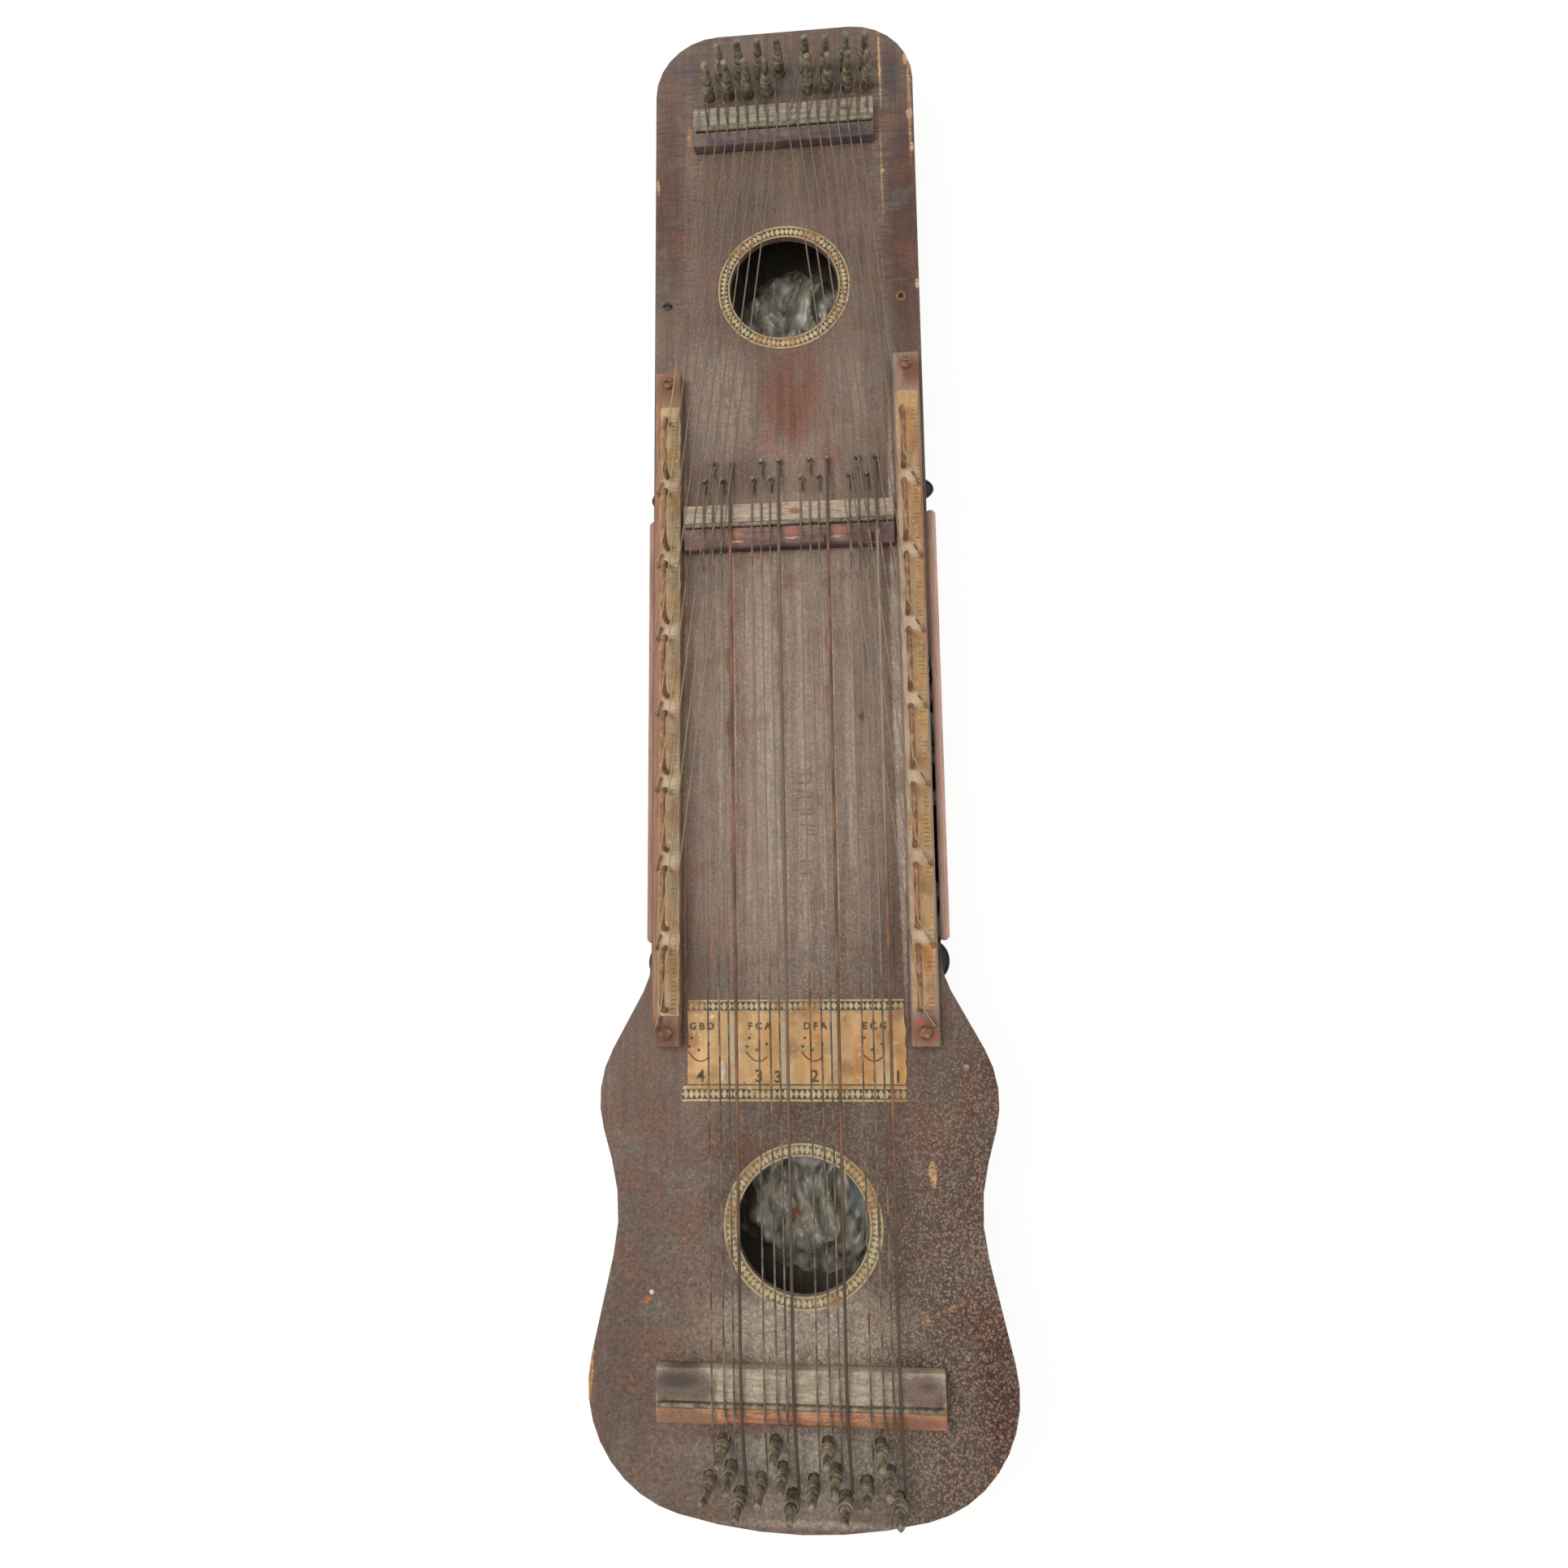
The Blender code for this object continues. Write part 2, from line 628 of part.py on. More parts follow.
def make_braces():
    """The block under the hitch pins and middle bridge, and the brace across the upper bout."""
    reach = NECK_WIDTH / 2 - SIDE_THICKNESS - SEAT_GAP
    middle = (MIDDLE_BRIDGE_Y + HITCH_FAR_Y) / 2
    low, high = middle - HITCH_BLOCK_LENGTH / 2, middle + HITCH_BLOCK_LENGTH / 2
    made = box("hitch_block", (-reach, low, INSIDE_TOP - HITCH_BLOCK_DEPTH), (reach, high, INSIDE_TOP))
    finish(made, "bare_wood")
    middle = TAIL_Y + TOP_BRACE_FROM_TAIL
    low, high = middle - TOP_BRACE_LENGTH / 2, middle + TOP_BRACE_LENGTH / 2
    reach = min(half_width(low, SIDE_THICKNESS), half_width(high, SIDE_THICKNESS)) - BRACE_END_GAP
    made = box("top_brace", (-reach, low, INSIDE_TOP - TOP_BRACE_DEPTH), (reach, high, INSIDE_TOP))
    finish(made, "bare_wood")


def make_bridges():
    """Bars with a ridge, and a groove along the ridge in which the saddle wire lies."""
    foot = FACE_Z + SEAT_GAP
    groove = SADDLE_WIRE_RADIUS + SEAT_GAP
    upper = (UPPER_BRIDGE_LENGTH, UPPER_BRIDGE_Y, UPPER_BRIDGE_HEAD_SIDE, UPPER_BRIDGE_TAIL_SIDE)
    middle = (MIDDLE_BRIDGE_LENGTH, MIDDLE_BRIDGE_Y, MIDDLE_BRIDGE_HEAD_SIDE, MIDDLE_BRIDGE_TAIL_SIDE)
    lower = (LOWER_BRIDGE_LENGTH, LOWER_BRIDGE_Y, LOWER_BRIDGE_HEAD_SIDE, LOWER_BRIDGE_TAIL_SIDE)
    for name, sizes in (("upper_bridge", upper), ("middle_bridge", middle), ("lower_bridge", lower)):
        length, crest_y, head_side, tail_side = sizes
        profile = [
            (crest_y - tail_side, foot),
            (crest_y + head_side, foot),
            (crest_y + head_side, foot + BRIDGE_HEAD_EDGE),
            (crest_y + groove, CREST_Z),
            (crest_y + groove, CREST_Z - SADDLE_WIRE_RADIUS),
            (crest_y - groove, CREST_Z - SADDLE_WIRE_RADIUS),
            (crest_y - groove, CREST_Z),
            (crest_y - tail_side, foot + BRIDGE_TAIL_EDGE),
        ]
        finish(moulding(name, profile, length), "bridge_wood")


def saddle_wire(name, crest_y, length):
    """The wire in a bridge's groove, standing proud of the ridge by its own radius and the gap."""
    level = CREST_Z + SEAT_GAP
    reach = length / 2 + SADDLE_OVERHANG
    return rods(name, [((-reach, crest_y, level), (reach, crest_y, level))], SADDLE_WIRE_RADIUS)


def arch_top():
    return RAIL_TOP + ARCH_HEIGHT


def melody_route(string, pin, bridge_x):
    """From beside the pin, over the upper saddle wire and the string's own arch, to its rail pin."""
    half = MELODY_STRINGS // 2
    side = -1 if string < half else 1
    index = string if side < 0 else MELODY_STRINGS - 1 - string
    radius = PLAIN_STRING_RADIUS
    target = (bridge_x, UPPER_BRIDGE_Y)
    over_arch = Vector(
        (
            side * RAIL_X,
            arch_centre(index) - ARCH_SPAN / 2 + ARCH_CORNER,
            arch_top() + SEAT_GAP + radius,
        )
    )
    nail = Vector((*rail_pin(side, index), RAIL_TOP + RAIL_STRING_HEIGHT))
    short_of_nail = HITCH_PIN_RADIUS + SEAT_GAP + radius
    last = nail + (over_arch - nail).normalized() * short_of_nail
    return [leaving_point(pin, target, radius), (*target, saddle_height(radius)), over_arch, last]


def make_melody_strings():
    """The melody strings with the saddle wire that carries them, as one solid."""
    made = saddle_wire("melody_strings", UPPER_BRIDGE_Y, UPPER_BRIDGE_LENGTH)
    CUTTERS.objects.unlink(made)
    PARTS.objects.link(made)
    made.hide_render = False
    made.display_type = "TEXTURED"
    routes = [
        (PLAIN_STRING_RADIUS, melody_route(string, pin, bridge_x))
        for string, (pin, bridge_x) in enumerate(melody_pins())
    ]
    boolean(made, wires("melody_strands", routes, WIRE_RESOLUTION), "UNION")
    finish(made, "string_steel", smooth=True)


def chord_route(hitch, bridge_x, pin, radius):
    """From the hitch pin up over the middle bridge, along to the lower one, and down to the pin."""
    short_of_nail = HITCH_PIN_RADIUS + SEAT_GAP + radius
    run = hitch[1] - LOWER_BRIDGE_Y

    def x_at(y):
        return hitch[0] + (bridge_x - hitch[0]) * (hitch[1] - y) / run

    start_y = hitch[1] - short_of_nail
    edge_y = MIDDLE_BRIDGE_Y + MIDDLE_BRIDGE_HEAD_SIDE + SEAT_GAP
    edge_z = FACE_Z + SEAT_GAP + BRIDGE_HEAD_EDGE + SEAT_GAP + radius
    target = (bridge_x, LOWER_BRIDGE_Y)
    return [
        (x_at(start_y), start_y, FACE_Z + HITCH_STRING_HEIGHT),
        (x_at(edge_y), edge_y, edge_z),
        (x_at(MIDDLE_BRIDGE_Y), MIDDLE_BRIDGE_Y, saddle_height(radius)),
        (*target, saddle_height(radius)),
        leaving_point(pin, target, radius),
    ]


def make_chord_strings():
    """The chord strings with the two saddle wires that carry them, as one solid."""
    made = saddle_wire("chord_strings", MIDDLE_BRIDGE_Y, MIDDLE_BRIDGE_LENGTH)
    CUTTERS.objects.unlink(made)
    PARTS.objects.link(made)
    made.hide_render = False
    made.display_type = "TEXTURED"
    routes = [(radius, chord_route(hitch, x, pin, radius)) for hitch, x, pin, radius in chord_strings()]
    boolean(made, wires("chord_strands", routes, WIRE_RESOLUTION), "UNION")
    boolean(made, saddle_wire("lower_saddle_wire", LOWER_BRIDGE_Y, LOWER_BRIDGE_LENGTH), "UNION")
    finish(made, "string_steel", smooth=True)


def arch_points(x, centre):
    """One wire arch: up out of the rail, round a corner, along the top and down again."""
    foot, top = RAIL_TOP - RAIL_HEIGHT / 2, arch_top() - ARCH_WIRE_RADIUS
    half = ARCH_SPAN / 2
    points = [(x, centre - half, foot)]
    for end, start in ((-1, math.pi), (1, math.pi / 2)):
        for step in range(3):
            turn = start - step * math.pi / 4
            y = centre + end * (half - ARCH_CORNER) + ARCH_CORNER * math.cos(turn)
            points.append((x, y, top - ARCH_CORNER + ARCH_CORNER * math.sin(turn)))
    points.append((x, centre + half, foot))
    return points


def make_rail(name, side, head_end):
    """A rail strip with its wire arches and hitch pins driven in, and a screw hole at each end."""
    low = (side * RAIL_X - RAIL_WIDTH / 2, RAIL_TAIL_END, FACE_Z + SEAT_GAP)
    high = (side * RAIL_X + RAIL_WIDTH / 2, head_end, RAIL_TOP)
    made = box(name, low, high)
    bevel(made, RAIL_EDGE_ROUND, 1)
    routes = [(ARCH_WIRE_RADIUS, arch_points(side * RAIL_X, arch_centre(i))) for i in range(ARCHES_PER_RAIL)]
    boolean(made, wires(name + "_arches", routes, WIRE_RESOLUTION), "UNION")
    ends = []
    for index in range(ARCHES_PER_RAIL):
        place = rail_pin(side, index)
        ends.append(((*place, RAIL_TOP - RAIL_HEIGHT / 2), (*place, RAIL_TOP + RAIL_PIN_HEIGHT)))
    boolean(made, rods(name + "_pins", ends, HITCH_PIN_RADIUS, WIRE_SIDES), "UNION")
    screws = screw_places(side, head_end)
    ends = [((*p, RAIL_TOP - SCREW_DEPTH - SEAT_GAP), (*p, RAIL_TOP + SEAT_GAP)) for p in screws]
    hole = (SCREW_SHANK_RADIUS + SEAT_GAP) / math.cos(math.pi / ROD_SIDES)
    boolean(made, rods(name + "_screw_holes", ends, hole), "DIFFERENCE")
    finish(made, "rail_wood")


def screw_places(side, head_end):
    return [
        (side * RAIL_X, head_end - RAIL_SCREW_FROM_END),
        (side * RAIL_X, RAIL_TAIL_END + RAIL_SCREW_FROM_END),
    ]


def make_rail_paper(name, side, head_end):
    """The paper strip on a rail's inner half, beside the arches' feet."""
    edge = RAIL_X - RAIL_WIDTH / 2 + RAIL_EDGE_ROUND
    near, far = sorted((side * edge, side * (edge + RAIL_PAPER_WIDTH)))
    low = (near, RAIL_TAIL_END + RAIL_PAPER_END, RAIL_TOP + SEAT_GAP)
    high = (far, head_end - RAIL_PAPER_END, RAIL_TOP + SEAT_GAP + PAPER_THICKNESS)
    finish(box(name, low, high), "rail_paper")


def make_chart():
    low = (-CHART_WIDTH / 2, CHART_HEAD_END - CHART_LENGTH, FACE_Z + SEAT_GAP)
    high = (CHART_WIDTH / 2, CHART_HEAD_END, FACE_Z + SEAT_GAP + PAPER_THICKNESS)
    finish(box("chart_label", low, high), "chart_paper")


def make_strip(name, side):
    """A wood strip glued along the neck's side wall."""
    inner = NECK_WIDTH / 2 + SEAT_GAP
    near, far = sorted((side * inner, side * (inner + STRIP_THICKNESS)))
    high = FACE_Z - STRIP_BELOW_FACE
    made = box(
        name,
        (near, STRIP_TAIL_END, high - STRIP_HEIGHT),
        (far, STRIP_HEAD_END, high),
    )
    bevel(made, STRIP_ROUND, 1)
    finish(made, "strip_wood")


def loop_middle(end):
    """The middle of the wire loop past a strip's head end (1) or tail end (-1)."""
    y = STRIP_HEAD_END + HEAD_LOOP_PAST_STRIP if end > 0 else STRIP_TAIL_END - TAIL_LOOP_PAST_STRIP
    return (NECK_WIDTH / 2, y, FACE_Z - STRIP_BELOW_FACE - STRIP_HEIGHT / 2)


def loop_half_span(end):
    return HEAD_LOOP_HALF_SPAN if end > 0 else TAIL_LOOP_HALF_SPAN


def loop_feet(end):
    x, y, z = loop_middle(end)
    return [(x, y - loop_half_span(end), z), (x, y + loop_half_span(end), z)]


def make_loop(name, side, end):
    """A bent wire with both ends in the side wall, and a thin web that fills it."""
    x, y, z = loop_middle(end)
    half = loop_half_span(end)
    arc, wall = [], []
    for step in range(LOOP_STEPS + 1):
        turn = math.pi * step / LOOP_STEPS
        along = y - half * math.cos(turn)
        clear = half_width(along) + SEAT_GAP
        wall.append((side * clear, along))
        arc.append((side * (clear + LOOP_WIRE_RADIUS + LOOP_REACH * math.sin(turn)), along))
    inside = side * (x - SIDE_THICKNESS / 2)
    points = [(inside, y - half, z)] + [(*place, z) for place in arc] + [(inside, y + half, z)]
    made = wires(name, [(LOOP_WIRE_RADIUS, points)], WIRE_RESOLUTION, PARTS)
    web = plate(name + "_web", [wall + arc[::-1]], z - LOOP_WEB / 2, LOOP_WEB, CUTTERS)
    boolean(made, web, "UNION")
    finish(made, "black_wire", smooth=True)


def screw_mesh():
    """A round-headed screw at the origin, turned from its profile and slotted."""
    dome, edge = SCREW_HEAD_HEIGHT - SEAT_GAP, SCREW_HEAD_RADIUS
    turns = [math.pi / 2 * (1 - step / SCREW_DOME_STEPS) for step in range(1, SCREW_DOME_STEPS + 1)]
    profile = [(0.0, SCREW_HEAD_HEIGHT)]
    profile += [(edge * math.cos(turn), SEAT_GAP + dome * math.sin(turn)) for turn in turns]
    profile += [(SCREW_SHANK_RADIUS, SEAT_GAP), (SCREW_SHANK_RADIUS, -SCREW_DEPTH), (0.0, -SCREW_DEPTH)]
    bm = bmesh.new()
    corners = [bm.verts.new((x, 0.0, z)) for x, z in profile]
    for first, second in zip(corners, corners[1:]):
        bm.edges.new((first, second))
    turned = mesh_object("screw_blank", bm)
    lathe = turned.modifiers.new("turned", "SCREW")
    lathe.steps = lathe.render_steps = SCREW_SIDES
    lathe.use_merge_vertices = True
    lathe.merge_threshold = WELD_DISTANCE
    low = (-2 * edge, -SCREW_SLOT_WIDTH / 2, SCREW_HEAD_HEIGHT - SCREW_SLOT_DEPTH)
    high = (2 * edge, SCREW_SLOT_WIDTH / 2, 2 * SCREW_HEAD_HEIGHT)
    slot = box("screw_slot", low, high, CUTTERS)
    boolean(turned, slot, "DIFFERENCE")
    blank = as_mesh(turned)
    mesh = blank.data
    bpy.data.objects.remove(blank)
    return mesh


def make_screws():
    mesh = screw_mesh()
    for name, side, head_end in (("left", -1, LEFT_RAIL_HEAD_END), ("right", 1, RIGHT_RAIL_HEAD_END)):
        for end, place in zip(("head", "tail"), screw_places(side, head_end)):
            made = new_object(f"rail_screw_{name}_{end}", mesh.copy())
            made.location = (*place, RAIL_TOP)
            finish(made, "screw_steel", smooth=True)


def pin_mesh(name, string_radius):
    """A tuning pin with its string's winding, the face at Z 0 and the string leaving along +Y."""
    shaft_top = PIN_HEIGHT - PIN_HEAD_HEIGHT
    shaft = rods(name, [((0, 0, -PIN_DEPTH), (0, 0, shaft_top))], PIN_RADIUS, PIN_SIDES, PARTS)
    sunk = shaft_top - PIN_RADIUS
    bm = bmesh.new()
    bmesh.ops.create_cone(
        bm,
        cap_ends=True,
        segments=4,
        radius1=PIN_HEAD_BASE * math.cos(math.pi / PIN_SIDES),
        radius2=PIN_HEAD_TOP,
        depth=PIN_HEIGHT - sunk,
        matrix=Matrix.Translation((0, 0, (PIN_HEIGHT + sunk) / 2)),
    )
    boolean(shaft, mesh_object(name + "_head", bm, CUTTERS), "UNION")
    points = winding_points(string_radius)
    gap = least_gap(points, string_radius, WINDING_STEPS // 2)
    print(f"{name}: least gap between turns {1000 * gap:.2f} mm, over {1000 * LEAST_TURN_GAP:.1f} wanted")
    boolean(shaft, wires(name + "_winding", [(string_radius, points)], WIRE_RESOLUTION), "UNION")
    made = as_mesh(shaft)
    mesh = made.data
    bpy.data.objects.remove(made)
    return mesh


def make_pins():
    """All the tuning pins. Each has its origin on its axis at the face."""
    plain = pin_mesh("plain_pin", PLAIN_STRING_RADIUS)
    bass = pin_mesh("bass_pin", BASS_STRING_RADIUS)
    placed = []
    for pin, bridge_x in melody_pins():
        placed.append(("melody_pin", pin, (bridge_x, UPPER_BRIDGE_Y), PLAIN_STRING_RADIUS))
    for _, bridge_x, pin, radius in chord_strings():
        placed.append(("chord_pin", pin, (bridge_x, LOWER_BRIDGE_Y), radius))
    counts = {}
    for kind, pin, target, radius in placed:
        counts[kind] = counts.get(kind, 0) + 1
        mesh = plain if radius == PLAIN_STRING_RADIUS else bass
        made = new_object(f"{kind}_{counts[kind]:02d}", mesh.copy())
        made.location = (*pin, FACE_Z)
        made.rotation_euler.z = pin_turn(pin, target, radius)
        finish(made, "pin_steel", smooth=True)


make_back_board()
make_sound_board()
make_sides()
make_blocks()
make_braces()
make_bridges()
make_melody_strings()
make_chord_strings()
make_rail("rail_left", -1, LEFT_RAIL_HEAD_END)
make_rail("rail_right", 1, RIGHT_RAIL_HEAD_END)
make_rail_paper("rail_paper_left", -1, LEFT_RAIL_HEAD_END)
make_rail_paper("rail_paper_right", 1, RIGHT_RAIL_HEAD_END)
make_chart()
for side_name, side_sign in (("left", -1), ("right", 1)):
    make_strip(f"side_strip_{side_name}", side_sign)
    make_loop(f"side_loop_{side_name}_head", side_sign, 1)
    make_loop(f"side_loop_{side_name}_tail", side_sign, -1)
make_screws()
make_pins()
bpy.context.view_layer.update()
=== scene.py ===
"""A worn ukelin on a pale floor, seen from above its middle.

It is built as the object goes together: sound box, bridges, rails, strings and tuning pins.
X runs across it, Y runs to the narrow head end, Z is up. Metres.
"""

import math

import bmesh
import bpy
from mathutils import Matrix, Vector, noise


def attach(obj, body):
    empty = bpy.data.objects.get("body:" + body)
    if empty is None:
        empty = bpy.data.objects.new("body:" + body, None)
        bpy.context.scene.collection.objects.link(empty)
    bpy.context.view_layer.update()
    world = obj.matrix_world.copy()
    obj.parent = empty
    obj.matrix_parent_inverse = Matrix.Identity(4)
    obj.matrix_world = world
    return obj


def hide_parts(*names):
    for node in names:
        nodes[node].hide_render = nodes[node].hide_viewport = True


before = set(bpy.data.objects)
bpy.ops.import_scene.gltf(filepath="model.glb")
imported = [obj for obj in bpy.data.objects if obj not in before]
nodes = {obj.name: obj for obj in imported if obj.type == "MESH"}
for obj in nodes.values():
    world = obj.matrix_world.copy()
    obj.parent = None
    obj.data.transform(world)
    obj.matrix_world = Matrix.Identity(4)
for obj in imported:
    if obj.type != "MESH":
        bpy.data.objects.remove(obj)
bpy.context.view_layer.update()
scene = bpy.context.scene

# View and light
# The photograph was taken from close above the middle of the instrument, with a wide lens.
# The background is plain white. A soft lamp hangs above the left side, and the room fills in.

scene.view_settings.view_transform = "Standard"

lens = bpy.data.cameras.new("above_the_face")
lens.sensor_width = 36.0
lens.lens = 21.976
camera = bpy.data.objects.new("above_the_face", lens)
camera.location = (0.02887, -0.09122, 0.46179)
camera.rotation_mode = "ZYX"
camera.rotation_euler = (0.130877, 0.076241, -0.022297)
scene.collection.objects.link(camera)
scene.camera = camera


def linear(code):
    """An sRGB hex colour as linear red, green, blue and alpha."""
    shares = [int(code[start : start + 2], 16) / 255 for start in (1, 3, 5)]
    bright = [share / 12.92 if share <= 0.04045 else ((share + 0.055) / 1.055) ** 2.4 for share in shares]
    return (*bright, 1.0)


def add(tree, kind, settings=None, links=None):
    """Adds one shader node with its settings and its inputs, and gives its first output in use."""
    made = tree.nodes.new("ShaderNode" + kind)
    for name, value in (settings or {}).items():
        setattr(made, name, value)
    for name, source in (links or {}).items():
        if isinstance(source, bpy.types.NodeSocket):
            tree.links.new(source, made.inputs[name])
        else:
            made.inputs[name].default_value = source
    return next((socket for socket in made.outputs if socket.enabled), None)


def new_material(name):
    """An empty material: its node tree, its Principled shader and its Object coordinates."""
    made = bpy.data.materials.new(name)
    made.use_nodes = True
    tree = made.node_tree
    return made, tree, tree.nodes["Principled BSDF"], add(tree, "TexCoord").node.outputs["Object"]


def seeing_the_backdrop(tree):
    """1 for the rays that see the plain backdrop: the camera's, and those in metal and glass."""
    rays = add(tree, "LightPath").node.outputs
    through = add(tree, "Math", {"operation": "MAXIMUM"}, {0: rays["Is Glossy Ray"], 1: rays["Is Transmission Ray"]})
    return add(tree, "Math", {"operation": "MAXIMUM"}, {0: rays["Is Camera Ray"], 1: through})


room = bpy.data.worlds.new("room")
scene.world = room
room.use_nodes = True
air = room.node_tree
air.nodes.clear()
fill = add(air, "Background", None, {"Color": linear("#fff9f2"), "Strength": 0.56})
backdrop = add(air, "Background", None, {"Color": (1.0, 1.0, 1.0, 1.0), "Strength": 1.0})
seen = add(air, "MixShader", None, {0: seeing_the_backdrop(air), 1: fill, 2: backdrop})
add(air, "OutputWorld", None, {"Surface": seen})

lamp = bpy.data.lights.new("soft_lamp", "AREA")
lamp.size = 0.7
lamp.energy = 7.5
lamp.color = linear("#fffaf3")[:3]
lamp_stand = bpy.data.objects.new("soft_lamp", lamp)
lamp_stand.location = (-0.5, 0.15, 1.15)
lamp_stand.rotation_euler = Vector((0.5, -0.15, -1.1)).to_track_quat("-Z", "Y").to_euler()
scene.collection.objects.link(lamp_stand)

floor_mesh = bmesh.new()
bmesh.ops.create_grid(floor_mesh, x_segments=1, y_segments=1, size=2.5)
floor_data = bpy.data.meshes.new("floor")
floor_mesh.to_mesh(floor_data)
floor_mesh.free()
floor = bpy.data.objects.new("floor", floor_data)
scene.collection.objects.link(floor)
paint, tree, shader, _ = new_material("white_studio_floor")
shader.inputs["Base Color"].default_value = linear("#f4f3f1")
shader.inputs["Roughness"].default_value = 0.8
white = add(tree, "Emission", None, {"Color": (1.0, 1.0, 1.0, 1.0), "Strength": 1.04})
share = add(tree, "Math", {"operation": "MULTIPLY"}, {0: seeing_the_backdrop(tree), 1: 0.9})
mixed = add(tree, "MixShader", None, {0: share, 1: shader.outputs[0], 2: white})
tree.links.new(mixed, tree.nodes["Material Output"].inputs["Surface"])
floor_data.materials.append(paint)

# Sound box
# A shallow box of thin hardwood, stained dark red-brown and pressed with a pebbled grain.
# The boards are glued on bent sides, and their rims are rounded and rubbed to bare wood.

FACE = 0.038
RIM = 0.0005
MM = 0.001


def copied(node, level=None):
    """A bmesh of a CAD node with its loose triangles joined, and what stands above a level cut off."""
    shape = bmesh.new()
    shape.from_mesh(nodes[node].data)
    bmesh.ops.remove_doubles(shape, verts=shape.verts, dist=0.00001)
    if level:
        above = [vert for vert in shape.verts if vert.co.z > level]
        bmesh.ops.delete(shape, geom=above, context="VERTS")
        bmesh.ops.holes_fill(shape, edges=[edge for edge in shape.edges if edge.is_boundary])
    bmesh.ops.dissolve_limit(shape, angle_limit=0.01, verts=shape.verts, edges=shape.edges)
    return shape


def rounded(shape, width, segments, edges=None):
    """Rounds the sharp edges of a shape, or those given."""
    if edges is None:
        edges = [edge for edge in shape.edges if edge.is_manifold and edge.calc_face_angle() > 0.4]
    bmesh.ops.bevel(
        shape,
        geom=edges,
        affect="EDGES",
        offset=width,
        segments=segments,
        profile=0.5,
        material=-1,
        clamp_overlap=True,
    )
    return shape


def piece(name, shape, finishes, stands_for=(), body="box"):
    """Makes a piece of a bmesh or a ready curve, and ties it to its body, CAD nodes and slot."""
    data = shape
    if isinstance(shape, bmesh.types.BMesh):
        data = bpy.data.meshes.new(name)
        shape.to_mesh(data)
        shape.free()
    for finish in finishes:
        data.materials.append(finish)
    made = bpy.data.objects.new(name, data)
    scene.collection.objects.link(made)
    if made.type == "MESH":
        data.shade_smooth()
        data.set_sharp_from_angle(angle=math.radians(35))
    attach(made, body)
    if stands_for:
        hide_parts(*stands_for)
    return made


def ragged(tree, place, size, reach):
    """The coordinates pushed about by noise, so that what is drawn on them gets ragged edges."""
    push = add(tree, "TexNoise", None, {"Vector": place, "Scale": 1 / size, "Detail": 4.0})
    push = push.node.outputs["Color"]
    push = add(tree, "VectorMath", {"operation": "SUBTRACT"}, {0: push, 1: (0.5, 0.5, 0.5)})
    push = add(tree, "VectorMath", {"operation": "SCALE"}, {0: push, "Scale": reach})
    return add(tree, "VectorMath", {"operation": "ADD"}, {0: place, 1: push})


def spot(tree, place, centre, reach, hard=0.0, turn=0.0):
    """1 in the middle of an ellipse, falling to 0 at its edge. Its place and half sizes are in mm."""
    settled = {"Location": (centre[0] * MM, centre[1] * MM, 0.0), "Rotation": (0.0, 0.0, math.radians(turn))}
    settled["Scale"] = (reach[0] * MM, reach[1] * MM, 1.0)
    near = add(tree, "Mapping", {"vector_type": "TEXTURE"}, {"Vector": place, **settled})
    near = add(tree, "TexGradient", {"gradient_type": "SPHERICAL"}, {"Vector": near}).node.outputs["Fac"]
    return add(tree, "MapRange", {"interpolation_type": "SMOOTHSTEP"}, {0: near, 2: 1 - hard})


def overlaid(tree, colour, code, pattern, low=0.0, high=1.0, strength=1.0):
    """A colour with another one over it where a pattern runs from low to high."""
    share = add(tree, "MapRange", None, {0: pattern, 1: low, 2: high, 4: strength})
    return add(tree, "Mix", {"data_type": "RGBA"}, {0: share, 6: colour, 7: linear(code)})


def varied(tree, colour, pattern, low, high, darkest, lightest):
    """A colour made darker and lighter by a pattern that runs from low to high."""
    level = add(tree, "MapRange", None, {0: pattern, 1: low, 2: high, 3: darkest, 4: lightest})
    return add(tree, "VectorMath", {"operation": "SCALE"}, {0: colour, "Scale": level})


def stretched(tree, place, across, along, detail=3.0, rough=0.55):
    """Noise whose features are across wide in X and along long in Y, in metres."""
    place = add(tree, "Mapping", None, {"Vector": place, "Scale": (1 / across, 1 / along, 150.0)})
    return add(tree, "TexNoise", None, {"Vector": place, "Scale": 1.0, "Detail": detail, "Roughness": rough})


